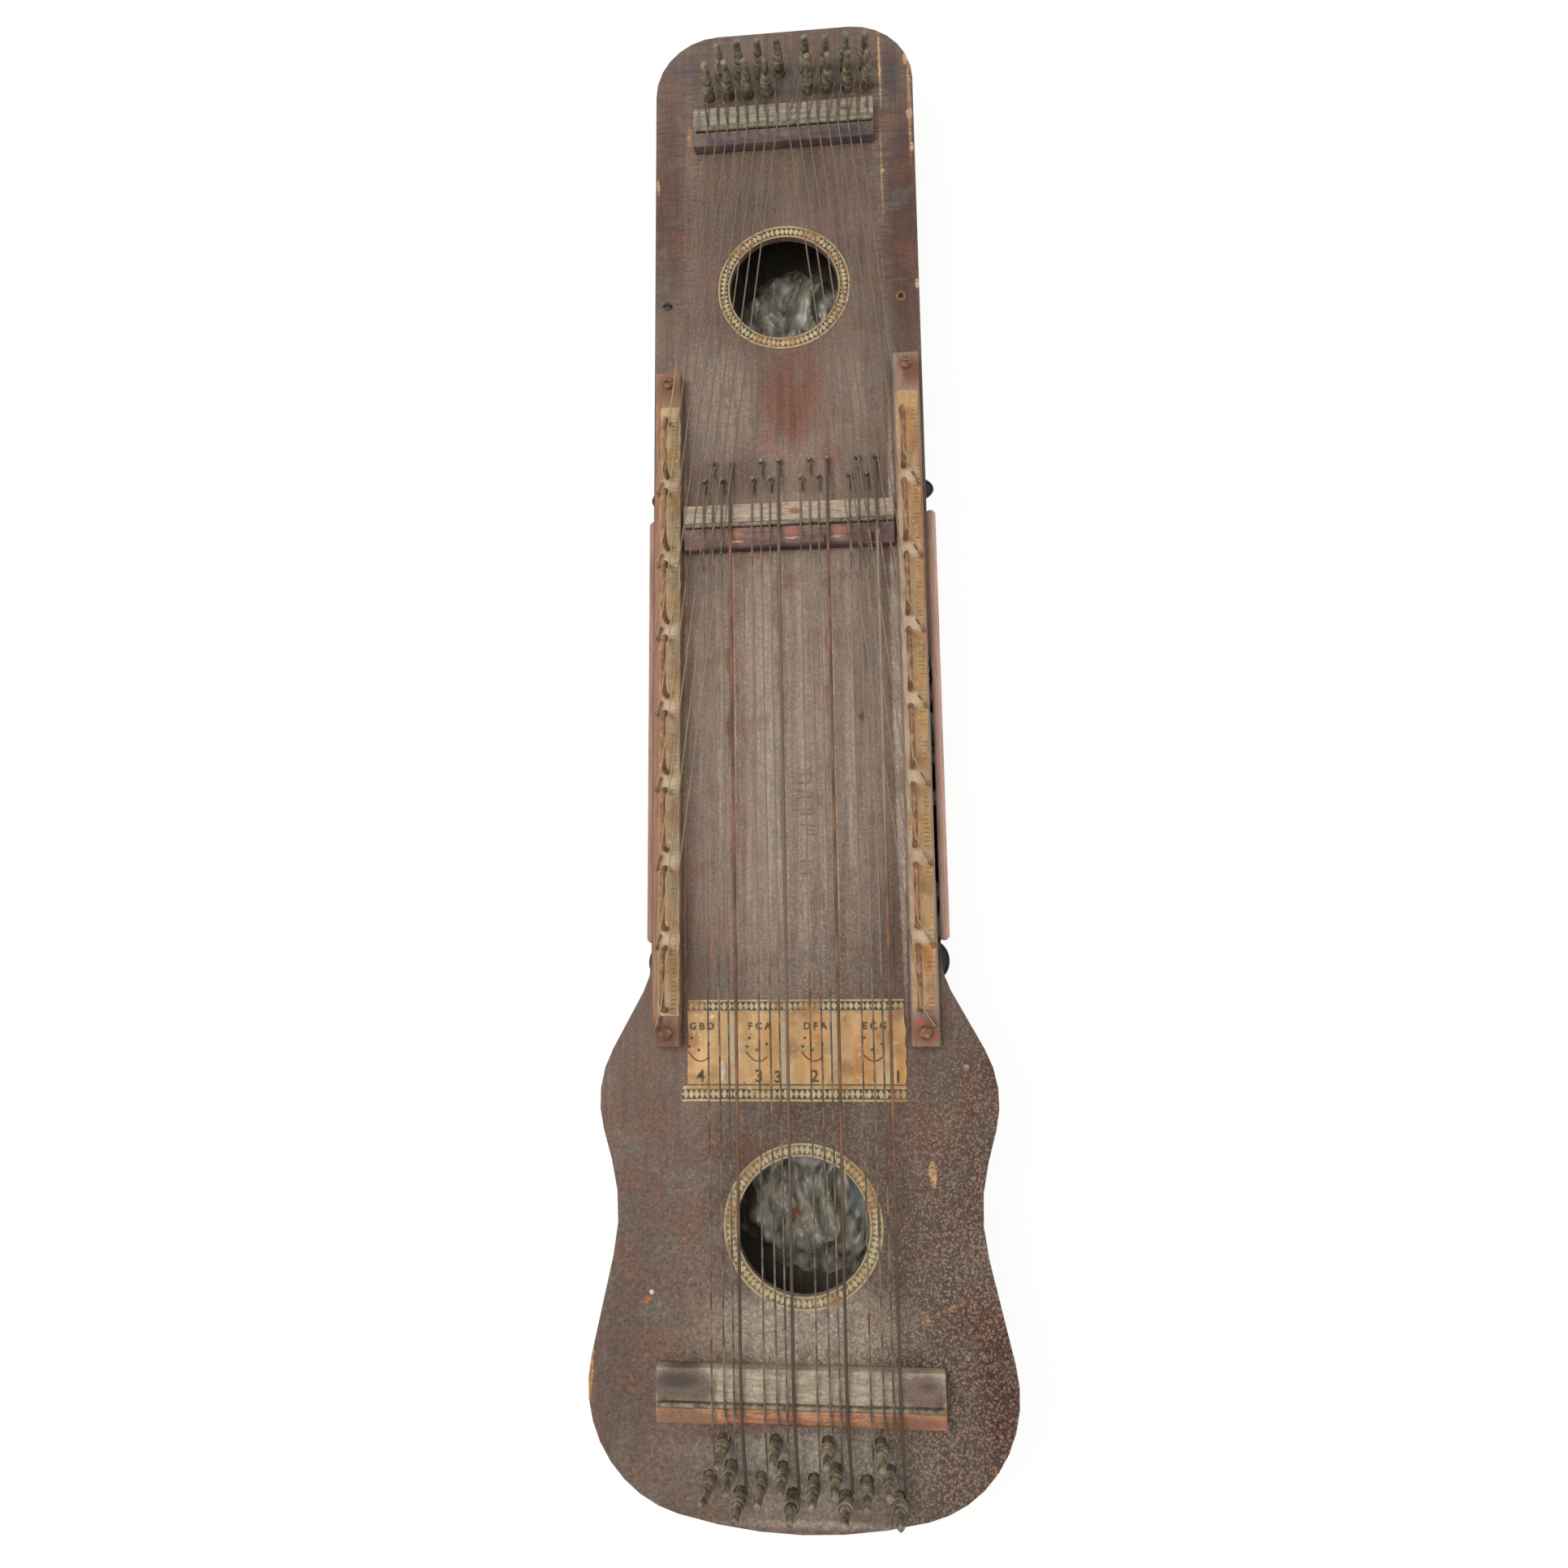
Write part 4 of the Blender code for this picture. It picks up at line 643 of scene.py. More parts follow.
INK_LEVEL = FACE + 0.00058
rows = []
for x, number, chord in zip(PANELS, "4321", ("G B D", "F C A", "D F A", "E C G")):
    rows.append((chord, x + 0.0015, -0.1413, 0.0030))
    rows.append((number, x + 0.001, -0.1624, 0.0052))
rows.append(("3", -0.0079, -0.1628, 0.0050))
rows.append(("1", 0.0435, -0.1628, 0.0050))
lettering("chart_print", rows, INK_LEVEL)

routes = []
for x in PANELS:
    route = []
    for step in range(13):
        share = step / 12
        bow = 0.0030 * (1 - (2 * share - 1) ** 2)
        route.append((x - 0.0045 + 0.0092 * share, -0.1518 - bow - 0.0022 * share, INK_LEVEL))
    routes.append(route)
routes.append([(-0.0485, -0.1659, INK_LEVEL), (0.047, -0.1659, INK_LEVEL)])
wire("chart_lines", routes, 0.00022, [ink], ())

dots = bmesh.new()
for x in PANELS:
    for across, along in ((-0.0040, -0.1498), (0.0002, -0.1512), (-0.0030, -0.1462), (0.0045, -0.1488)):
        at = Matrix.Translation((x + across, along, INK_LEVEL))
        bmesh.ops.create_cone(dots, cap_ends=True, segments=12, radius1=0.0006, radius2=0.0005, depth=0.00006, matrix=at)
piece("chart_dots", dots, [ink], ())

# Bridges
# Three bars of hardwood glued to the face. Each has a ridge with a steel wire laid in a groove.
# The head side of each is grey with dust, and the tail side is dark, or rubbed to red-brown.

FOOT = 0.0383
CREST = 0.0453
UPPER_Y, MIDDLE_Y, LOWER_Y = 0.2853, 0.0838, -0.2915


def bridge_wood(name, crest_y, head, head_dark, tail, tail_dark, spots, gap=0.0):
    """Bridge wood: dusty before the ridge and dark past it, with a dark line at each string that is painted shade for
    the string's shadow and its groove.
    """
    made, tree, shader, place = new_material(name)
    wavy = ragged(tree, place, 0.006, 0.002)
    edge = ragged(tree, place, 0.003, 0.0015)
    grain = stretched(tree, wavy, 0.010, 0.0012, 4.0)
    dusty = overlaid(tree, linear(head), head_dark, grain, 0.38, 0.62)
    rubbed = overlaid(tree, linear(tail), tail_dark, grain, 0.38, 0.62)
    parts = add(tree, "SeparateXYZ", None, {0: edge}).node.outputs
    if gap:
        # Painted shade: a dark line along each string, for its shadow and the shade of its groove.
        groove = add(tree, "Math", {"operation": "MULTIPLY"}, {0: parts["X"], 1: 1 / gap})
        groove = add(tree, "Math", {"operation": "PINGPONG"}, {0: groove, 1: 0.5})
        dusty = overlaid(tree, dusty, "#574d42", groove, 0.30, 0.42, 0.8)
        ridge = add(tree, "MapRange", None, {0: parts["Y"], 1: crest_y + 0.0036, 2: crest_y + 0.0026})
        dusty = overlaid(tree, dusty, "#6b6f63", ridge, strength=0.75)
    past = add(tree, "MapRange", None, {0: parts["Y"], 1: crest_y + 0.0004, 2: crest_y - 0.0008})
    colour = add(tree, "Mix", {"data_type": "RGBA"}, {0: past, 6: dusty, 7: rubbed})
    for x, y, across, along, code, strength, hard in spots:
        colour = overlaid(tree, colour, code, spot(tree, edge, (x, y), (across, along), hard), strength=strength)
    fine = add(tree, "TexNoise", None, {"Vector": place, "Scale": 900.0, "Detail": 3.0})
    colour = varied(tree, colour, fine, 0.3, 0.7, 0.76, 1.26)
    tree.links.new(colour, shader.inputs["Base Color"])
    shader.inputs["Roughness"].default_value = 0.6
    height = add(tree, "Math", {"operation": "ADD"}, {0: grain, 1: fine})
    relief = add(tree, "Bump", None, {"Strength": 0.4, "Distance": 0.0002, "Height": height})
    tree.links.new(relief, shader.inputs["Normal"])
    return made


# Stains and painted shade in mm: place, half sizes, colour, strength and how hard the edge is.
UPPER_SPOTS = (
    (30, 292.5, 3, 2, "#4a4136", 0.8, 0.3),
    (40.5, 293, 2.4, 3, "#4a4136", 0.8, 0.3),
    (7, 292, 1.8, 1.4, "#4a4136", 0.7, 0.3),
    (-41, 290, 3.4, 7, "#6d6a68", 0.85, 0.2),
    # Painted shadow along the upper bridge's tail foot.
    (-20, 280, 30, 1.8, "#453f45", 0.6, 0),
    (30, 280.5, 26, 2.4, "#3d3a42", 0.8, 0),
    (-30, 284, 14, 2.6, "#735a50", 0.6, 0),
)
MIDDLE_SPOTS = (
    (3, 89.5, 4.6, 2.4, "#8f5a46", 0.9, 0.2),
    (-24, 86.5, 5.5, 2, "#9a6f62", 0.75, 0),
    (23, 88, 5, 2.4, "#9a7a70", 0.6, 0),
    (-24.5, 79.5, 5.2, 2.6, "#b06f52", 0.95, 0.2),
    (1.5, 80, 4.6, 2.8, "#a8634f", 0.9, 0.2),
    (22.5, 79.8, 5, 3, "#a96c55", 0.9, 0.2),
    (-34, 79.5, 4, 2.6, "#8b6a62", 0.6, 0),
    (-24.5, 76.4, 5, 0.7, "#cfae90", 0.9, 0.3),
    (1.5, 77.2, 4.4, 0.7, "#cfae98", 0.85, 0.3),
    (22.5, 77, 4.6, 0.7, "#c9a48c", 0.8, 0.3),
    (44, 79, 5, 5, "#5c4a4c", 0.85, 0),
    # Painted shadow along the middle bridge's tail foot.
    (0, 73.9, 52, 1.6, "#33262a", 0.85, 0.2),
    # Painted shade of the notches and string shadows at the tail edge, by the bass strings.
    (-30.3, 75.6, 1, 3.2, "#1f1817", 0.95, 0.3),
    (-4.6, 75.8, 1, 3, "#1f1817", 0.9, 0.3),
    (16.8, 76, 1, 3.4, "#1f1817", 0.95, 0.3),
    (38.6, 76, 1.2, 3.4, "#1f1817", 0.95, 0.3),
)
LOWER_SPOTS = (
    (-48, -285, 16, 11, "#64554b", 0.95, 0.6),
    (-50, -282.5, 13, 4.5, "#3a302a", 0.9, 0.3),
    (-46, -289.5, 13, 1.6, "#8a7260", 0.8, 0),
    (50, -285, 13, 9, "#725e56", 0.9, 0.5),
    (52, -283, 6, 3, "#4b4042", 0.8, 0),
    (57, -290, 3, 6, "#4d3a34", 0.7, 0),
    (-48, -297, 17, 5, "#8a6652", 0.9, 0.5),
    (46, -297, 22, 5, "#8b5a46", 0.8, 0.3),
    (-33, -295, 1.6, 4, "#c69a6c", 0.7, 0.2),
    (-24, -296, 1.2, 4, "#c9a06e", 0.7, 0.2),
    (4, -295, 1.4, 4, "#c9a078", 0.7, 0.2),
    (27, -295, 1.8, 4, "#b99a76", 0.7, 0.2),
    # Painted shadow along the lower bridge's tail foot.
    (0, -299.3, 62, 0.8, "#6b3522", 0.7, 0.2),
)
BRIDGES = (
    ("upper_bridge", UPPER_Y, ("#aba08f", "#857a6b", "#725e57", "#57494a"), UPPER_SPOTS, 0.00483),
    ("middle_bridge", MIDDLE_Y, ("#c1b09d", "#9e8f80", "#8a6a60", "#6c5350"), MIDDLE_SPOTS, 0.0),
    ("lower_bridge", LOWER_Y, ("#bcae9a", "#998c7c", "#cb9772", "#a5735a"), LOWER_SPOTS, 0.0),
)

for name, crest_y, colours, spots, gap in BRIDGES:
    finish = bridge_wood("dusty_hardwood_" + name, crest_y, *colours, spots, gap)
    piece(name + "_bar", rounded(copied(name), 0.0004, 2), [finish], [name])

# Rails
# Two hardwood strips screwed along the face's edges, each with a yellowed paper strip of marks.
# Eight wire arches stand on each one, and past every arch is a nail for the string's loop.

RAIL_TOP = 0.0453
RAIL_X = 0.0555
RAIL_TAIL = -0.1492
RAIL_HEADS = {"left": 0.1603, "right": 0.1643}
SIDES = {"left": -1, "right": 1}


# The right rail's arches stand a little nearer to the strings than its middle.
ARCH_X = {"left": -0.0555, "right": 0.0530}


def arch_centre(index):
    return 0.1213 - index * 0.0345


rail_finish = {
    "left": bare_hardwood("rubbed_rail_hardwood_left", "#ad8468", "#82604c", (
        ((-55.5, 152), (11, 10.5), "#7d5444", 0.95),
        ((-55.5, -144), (12, 10), "#664638", 0.95),
        ((-60.5, -40), (1.6, 90), "#a06f55", 0.6),
        ((-49.9, 20), (0.9, 120), "#9a9480", 0.8),
    )),
    "right": bare_hardwood("rubbed_rail_hardwood_right", "#a89686", "#85756a", (
        ((58, 155), (9, 12), "#7a4c3c", 1.0),
        ((52, 152), (3, 9), "#a8876c", 0.8),
        ((55.5, -143), (12, 11), "#84503f", 0.95),
        ((53, -139), (2, 2), "#b5583a", 0.9),
        ((58, -145), (2.4, 2), "#a9573c", 0.8),
        ((61.2, 70), (0.9, 60), "#a5653c", 0.8),
        ((61.0, -60), (1.1, 80), "#a3897f", 0.9),
    )),
}

# Where each side's paper is worn, in mm: place, half sizes, colour and strength.
PAPER_WEAR = {
    "left": (
        (-57.5, -30, 3, 110, "#a87858", 0.75),
        (-57.5, 136, 2.6, 8, "#d8b98a", 0.9),
        (-52, 60, 2.6, 90, "#a49a72", 0.6),
        (-51, -80, 2, 60, "#a9a07c", 0.6),
        (-57, 60, 2.4, 40, "#a98b62", 0.5),
    ),
    "right": (
        (50.6, 5, 2.9, 160, "#c0b09f", 0.95),
        (56, 128, 5, 16, "#cd9a68", 0.8),
        (59.5, 60, 1.4, 80, "#c48a4c", 0.8),
        (58.5, 0, 2, 24, "#c79a4c", 0.6),
        (57.5, -112, 3, 10, "#c8803f", 0.8),
        (59, -60, 2.2, 30, "#b99658", 0.6),
    ),
}
marked = {}
for side in SIDES:
    made, tree, shader, place = new_material(f"yellowed_marked_paper_{side}")
    edge = ragged(tree, place, 0.004, 0.003)
    fibre = stretched(tree, place, 0.002, 0.02)
    warm = add(tree, "TexNoise", None, {"Vector": place, "Scale": 70.0, "Detail": 4.0})
    light, dark, blotch = ("#c0a980", "#9c8765", "#ba946c") if side == "left" else ("#cfae84", "#b3926c", "#cd9a66")
    colour = overlaid(tree, linear(light), dark, fibre, 0.35, 0.65)
    colour = overlaid(tree, colour, blotch, warm, 0.45, 0.6, 0.7)
    for x, y, across, along, code, strength in PAPER_WEAR[side]:
        colour = overlaid(tree, colour, code, spot(tree, edge, (x, y), (across, along), 0.3), strength=strength)
    parts = add(tree, "SeparateXYZ", None, {0: place}).node.outputs
    away = add(tree, "Math", {"operation": "SUBTRACT"}, {0: parts["X"], 1: -0.0522 if side == "left" else 0.0585})
    away = add(tree, "Math", {"operation": "ABSOLUTE"}, {0: away})
    inside = add(tree, "MapRange", None, {0: away, 1: 0.0015, 2: 0.0012})
    tick = add(tree, "Math", {"operation": "MULTIPLY"}, {0: parts["Y"], 1: 1 / 0.0019})
    tick = add(tree, "Math", {"operation": "PINGPONG"}, {0: tick, 1: 0.5})
    tick = add(tree, "MapRange", None, {0: tick, 1: 0.2, 2: 0.1})
    tick = add(tree, "Math", {"operation": "MULTIPLY"}, {0: tick, 1: inside})
    words = add(tree, "TexNoise", None, {"Vector": place, "Scale": 170.0, "Detail": 2.0})
    words = add(tree, "MapRange", None, {0: words, 1: 0.46, 2: 0.52})
    tick = add(tree, "Math", {"operation": "MULTIPLY"}, {0: tick, 1: words})
    colour = overlaid(tree, colour, "#6a5a38", tick, strength=0.7)
    # Whitish dust has settled between one arch and the next.
    for index in range(8):
        centre = (SIDES[side] * 55.5, (arch_centre(index) - 0.0178) / MM)
        dust = spot(tree, edge, centre, (5.5, 5.5), 0.2)
        colour = overlaid(tree, colour, "#dac8b0", dust, strength=0.8)
    aged_print(tree, shader, place, colour, 0.0)
    marked[side] = made

# Steel wire under brown rust and old varnish, with dust on it.
arch_steel, tree, shader, place = new_material("rusted_steel_arches")
rust = add(tree, "TexNoise", None, {"Vector": place, "Scale": 300.0, "Detail": 4.0, "Roughness": 0.65})
colour = overlaid(tree, linear("#65442f"), "#a87c58", rust, 0.35, 0.65)
colour = overlaid(tree, colour, "#cdb493", rust, 0.62, 0.72, 0.7)
tree.links.new(colour, shader.inputs["Base Color"])
tree.links.new(add(tree, "MapRange", None, {0: rust, 3: 0.4, 4: 0.7}), shader.inputs["Roughness"])
shader.inputs["Metallic"].default_value = 0.1

# Steel gone dull and brown-grey, with dust in its corners.
dull_steel, tree, shader, place = new_material("oxidised_dusty_steel")
rust = add(tree, "TexNoise", None, {"Vector": place, "Scale": 260.0, "Detail": 5.0, "Roughness": 0.65})
colour = overlaid(tree, linear("#514a40"), "#a1967f", rust, 0.38, 0.62)
spots_of = add(tree, "TexNoise", None, {"Vector": place, "Scale": 500.0, "Detail": 3.0})
colour = overlaid(tree, colour, "#7a4f38", spots_of, 0.60, 0.70, 0.5)
colour = overlaid(tree, colour, "#6f7d6a", spots_of, 0.38, 0.30, 0.4)
tree.links.new(colour, shader.inputs["Base Color"])
tree.links.new(add(tree, "MapRange", None, {0: rust, 3: 0.45, 4: 0.8}), shader.inputs["Roughness"])
shader.inputs["Metallic"].default_value = 0.2
relief = add(tree, "Bump", None, {"Strength": 0.3, "Distance": 0.0001, "Height": rust})
tree.links.new(relief, shader.inputs["Normal"])

# The screws' brown lacquer has worn to the colour of the wood round them.
screw_steel, tree, shader, place = new_material("brown_lacquered_screws")
rust = add(tree, "TexNoise", None, {"Vector": place, "Scale": 400.0, "Detail": 4.0})
tree.links.new(overlaid(tree, linear("#5d4032"), "#9c7459", rust, 0.4, 0.65), shader.inputs["Base Color"])
shader.inputs["Roughness"].default_value = 0.55
shader.inputs["Metallic"].default_value = 0.2


def nails(name, places, base, height, radius=0.0009):
    """Small nails with domed tops, driven into the wood."""
    shape = bmesh.new()
    for x, y in places:
        at = Matrix.Translation((x, y, base + (height - 0.001) / 2))
        made = bmesh.ops.create_cone(
            shape, cap_ends=True, segments=14, radius1=radius, radius2=radius, depth=height + 0.001, matrix=at
        )
        top = [edge for edge in shape.edges if all(v in made["verts"] and v.co.z > base + height - 0.0001 for v in edge.verts)]
        bmesh.ops.bevel(shape, geom=top, affect="EDGES", offset=radius * 0.5, segments=2, profile=0.5, material=-1)
    return piece(name, shape, [dull_steel], ())


def string_loop(nail, towards, level, post, radius):
    """A string's end: a loop round a nail, drawn to a point and wrapped on the string."""
    away = Vector((towards[0] - nail[0], towards[1] - nail[1], 0.0)).normalized()
    aside = Vector((-away.y, away.x, 0.0))
    ring = post + radius + 0.0001
    route = []
    for step in range(17):
        turn = math.radians(55) + math.radians(250) * step / 16
        route.append(Vector((*nail, level)) + away * ring * math.cos(turn) + aside * ring * math.sin(turn))
    route = [Vector((*nail, level)) + away * 0.0034] + route + [Vector((*nail, level)) + away * 0.0034]
    for step in range(33):
        turn = math.tau * step / 8
        middle = Vector((*nail, level)) + away * (0.0034 + 0.0026 * step / 32)
        route.append(middle + (aside * math.cos(turn) + Vector((0, 0, 1)) * math.sin(turn)) * 2 * radius)
    return route


for side, sign in SIDES.items():
    head = RAIL_HEADS[side]
    strip = bmesh.new()
    size = Matrix.Diagonal((0.012, head - RAIL_TAIL, 0.007, 1.0))
    middle = Matrix.Translation((sign * RAIL_X, (head + RAIL_TAIL) / 2, FOOT + 0.0035))
    bmesh.ops.create_cube(strip, size=1.0, matrix=middle @ size)
    rounded(strip, 0.0009, 3)
    piece("rail_strip_" + side, strip, [rail_finish[side]], ["rail_" + side])

    near, far = (-0.0590, -0.0497) if side == "left" else (0.0503, 0.0603)
    low, high = (-0.136, 0.1426) if side == "left" else (-0.1335, 0.145)
    paper = bmesh.new()
    bmesh.ops.create_grid(paper, x_segments=8, y_segments=160, size=0.5)
    for vert in paper.verts:
        x, y = near + (vert.co.x + 0.5) * (far - near), low + (vert.co.y + 0.5) * (high - low)
        if min(x - near, far - x) < 0.00001:
            x += 0.0005 * noise.noise((y * 170, sign, 2.0))
        vert.co = Vector((x, y, RAIL_TOP + 0.0001 + 0.00008 * noise.noise((x * 300, y * 200, 6.0))))
    bmesh.ops.solidify(paper, geom=paper.faces[:], thickness=0.0001)
    piece("marked_paper_" + side, paper, [marked[side]], ["rail_paper_" + side])

    arches, ends, loops = [], [], []
    for index in range(8):
        middle, top, corner = arch_centre(index), 0.0544, 0.006
        arch = [(ARCH_X[side], middle - 0.0132, RAIL_TOP - 0.001)]
        for end, start in ((-1, math.pi), (1, math.pi / 2)):
            for step in range(9):
                turn = start - step * math.pi / 16
                y = middle + end * (0.0132 - corner) + corner * math.cos(turn)
                arch.append((ARCH_X[side], y, top - corner + corner * math.sin(turn)))
        arch.append((ARCH_X[side], middle + 0.0132, RAIL_TOP - 0.001))
        arches.append(arch)
        nail = (sign * 0.0598, middle - 0.0132 - 0.008)
        ends.append(nail)
        loops.append(string_loop(nail, (ARCH_X[side], middle - 0.0102), RAIL_TOP + 0.0012, 0.0006, 0.0002))
    wire("rail_arches_" + side, arches, 0.0012, [arch_steel])
    nails("rail_nails_" + side, ends, RAIL_TOP, 0.002, 0.0006)
    wire("rail_string_loops_" + side, loops, 0.0002, [arch_steel], ())
    for end in ("head", "tail"):
        screw = copied(f"rail_screw_{side}_{end}")
        piece(f"slotted_screw_{side}_{end}", screw, [screw_steel], [f"rail_screw_{side}_{end}"])

# Hitch nails
# Sixteen small nails in two staggered rows hold the chord strings' looped ends.
# They are driven through the face into the block under it, and are dull with rust.

CHORDS = []
for group in range(4):
    step = group - 1.5
    for place in range(4):
        hitch = (0.0007 + step * 0.0224 + (-0.0061, -0.002, 0.0021, 0.0062)[place], (0.1078, 0.1163)[place % 2])
        across = 0.00205 + step * 0.0215
        pin = (across + (-0.0076, -0.0016, 0.0013, 0.005)[place], -0.343 + (0.021, 0.0353, 0.0253, 0.0153)[place])
        bass = place == 3
        CHORDS.append((hitch, across + (-0.0054, -0.00025, 0.0037, 0.0065)[place], pin, 0.0006 if bass else 0.0003))

nails("hitch_nails", [hitch for hitch, *_ in CHORDS], FACE, 0.004)
wire(
    "hitch_string_loops",
    [string_loop(hitch, (x, LOWER_Y), FACE + 0.0018, 0.0009, 0.00028) for hitch, x, _, _ in CHORDS],
    0.00028,
    [dull_steel],
    (),
)

# Tuning pins
# Steel pins with tapered square heads, turned in holes in the end blocks by a key.
# Each winds up its string's end in a few close turns, and carries it when it turns.

PIN = 0.00225


def winding_reach(radius):
    return (PIN + 0.00005 + radius) / math.cos(math.pi / 8)


def string_start(radius):
    reach = winding_reach(radius)
    return math.sqrt((math.hypot(reach + radius, 2 * radius) + 0.0003) ** 2 - (reach - radius) ** 2)


def pin_turn(pin, target, radius):
    across, along = target[0] - pin[0], target[1] - pin[1]
    return math.atan2(-across, along) + math.asin(winding_reach(radius) / math.hypot(across, along))


def leaving_point(pin, target, radius):
    turn, reach, start = pin_turn(pin, target, radius), winding_reach(radius), string_start(radius)
    x = pin[0] + reach * math.cos(turn) - start * math.sin(turn)
    y = pin[1] + reach * math.sin(turn) + start * math.cos(turn)
    return (x, y, FACE + 0.005)


MELODY = []
for string in range(16):
    on_left = string < 8
    column, second = divmod(string % 8, 2)
    x = (-0.0366 if on_left else 0.0126) + column * 0.0096
    near = second != on_left
    pin = (x, 0.3093) if near else (x + (0.0062 if on_left else -0.001), 0.3196)
    MELODY.append((pin, (string - 7.5) * 0.00483))


def tuning_pin(radius, turns):
    """A pin at the origin, the face at Z 0 and its string leaving along +Y."""
    shape = bmesh.new()
    bmesh.ops.create_cone(
        shape, cap_ends=True, segments=24, radius1=PIN, radius2=PIN, depth=0.030, matrix=Matrix.Translation((0, 0, -0.003))
    )
    rim = [edge for edge in shape.edges if all(vert.co.z > 0.0119 for vert in edge.verts)]
    bmesh.ops.bevel(shape, geom=rim, affect="EDGES", offset=0.0011, segments=3, profile=0.5, material=-1)
    head = bmesh.ops.create_cone(
        shape, cap_ends=True, segments=4, radius1=0.0024, radius2=0.0019, depth=0.0085, matrix=Matrix.Translation((0, 0, 0.01575))
    )
    corners = {edge for vert in head["verts"] for edge in vert.link_edges if edge.is_valid}
    corners = [edge for edge in corners if max(vert.co.z for vert in edge.verts) > 0.0199]
    bmesh.ops.bevel(shape, geom=corners, affect="EDGES", offset=0.0008, segments=3, profile=0.5, material=-1)
    steps = 14 * turns
    start = Matrix.Translation((PIN + radius, 0, 0.005)) @ Matrix.Rotation(math.pi / 2, 4, "X")
    ring = bmesh.ops.create_circle(shape, cap_ends=False, segments=8, radius=radius, matrix=start)["verts"]
    ends = [list({edge for vert in ring for edge in vert.link_edges})]
    wound = bmesh.ops.spin(
        shape,
        geom=ring + ends[0],
        cent=(0, 0, 0),
        axis=(0, 0, 1),
        dvec=(0, 0, 2 * radius / 14),
        angle=-turns * math.tau,
        steps=steps,
        use_merge=False,
    )
    ends.append([part for part in wound["geom_last"] if isinstance(part, bmesh.types.BMEdge)])
    shifts = ((winding_reach(radius) - PIN - radius, 2 * radius, 0), (-1.6 * radius, -radius, 0))
    for edges, shift in zip(ends, shifts):
        drawn = bmesh.ops.extrude_edge_only(shape, edges=edges)["geom"]
        bmesh.ops.translate(shape, verts=[part for part in drawn if isinstance(part, bmesh.types.BMVert)], vec=shift)
        bmesh.ops.contextual_create(shape, geom=[part for part in drawn if isinstance(part, bmesh.types.BMEdge) and part.is_boundary])
    bmesh.ops.recalc_face_normals(shape, faces=shape.faces)
    return shape


kinds = {0.0003: tuning_pin(0.0003, 6), 0.0006: tuning_pin(0.0006, 4)}
placed = [("melody_pin", pin, (x, UPPER_Y), 0.0003) for pin, x in MELODY]
placed += [("chord_pin", pin, (x, LOWER_Y), radius) for _, x, pin, radius in CHORDS]
for order, (kind, pin, target, radius) in enumerate(placed):
    name = f"{kind}_{order % 16 + 1:02d}"
    shape = kinds[radius].copy()
    at = Matrix.Translation((*pin, FACE)) @ Matrix.Rotation(pin_turn(pin, target, radius), 4, "Z")
    bmesh.ops.transform(shape, matrix=at, verts=shape.verts)
    piece("wound_" + name, shape, [dull_steel], [name], name)
for shape in kinds.values():
    shape.free()

# Strings
# Plain steel strings, rusted dark, and one bass string to each group, wound with copper wire.
# They run taut over the bridges' wires, from their nails or over their arches, to the pins.

plain_string, tree, shader, place = new_material("rusted_plain_steel_string")
rust = add(tree, "TexNoise", None, {"Vector": place, "Scale": 200.0, "Detail": 4.0})
colour = overlaid(tree, linear("#544c42"), "#8a7d6c", rust, 0.42, 0.62)
# Down the neck and over the rails they are furred with the same pale dust as the paper.
colour = overlaid(tree, colour, "#7c6e62", spot(tree, place, (0, 180), (90, 110), 0.85), strength=0.85)
colour = overlaid(tree, colour, "#94867a", spot(tree, place, (0, -25), (90, 100), 0.8), strength=0.75)
across = add(tree, "SeparateXYZ", None, {0: place})
across = add(tree, "Math", {"operation": "ABSOLUTE"}, {0: across})
colour = overlaid(tree, colour, "#b09c7c", across, 0.0497, 0.0507, 0.85)
tree.links.new(colour, shader.inputs["Base Color"])
shader.inputs["Metallic"].default_value = 0.2
shader.inputs["Roughness"].default_value = 0.65

copper_string, tree, shader, place = new_material("copper_wound_bass_string")
tarnish = add(tree, "TexNoise", None, {"Vector": place, "Scale": 90.0, "Detail": 4.0})
colour = overlaid(tree, linear("#5f4535"), "#8d6850", tarnish, 0.35, 0.65)
colour = overlaid(tree, colour, "#71675c", spot(tree, place, (-6, -80), (6, 260), 0.6), strength=0.8)
colour = overlaid(tree, colour, "#ab9a86", spot(tree, place, (38, 20), (7, 130), 0.4), strength=0.9)
# The copper has gone dark where fingers and keys never rub it, past the bridges.
along = add(tree, "SeparateXYZ", None, {0: place}).node.outputs["Y"]
colour = overlaid(tree, colour, "#4d4238", along, -0.17, -0.24, 0.85)
colour = overlaid(tree, colour, "#5b5044", along, 0.076, 0.082, 0.85)
tree.links.new(colour, shader.inputs["Base Color"])
shader.inputs["Metallic"].default_value = 0.2
shader.inputs["Roughness"].default_value = 0.6
# The winding's turns are 0.25 mm wide; they are drawn twice as coarse as they need to show.
turns = add(tree, "TexWave", {"bands_direction": "Y"}, {"Vector": place, "Scale": 625.0})
relief = add(tree, "Bump", None, {"Strength": 0.5, "Distance": 0.0001, "Height": turns})
tree.links.new(relief, shader.inputs["Normal"])


def saddle_height(radius):
    return CREST + 0.0003 + 0.001 * math.cos(math.pi / 8) + radius * math.cos(math.pi / 6) - 0.0001


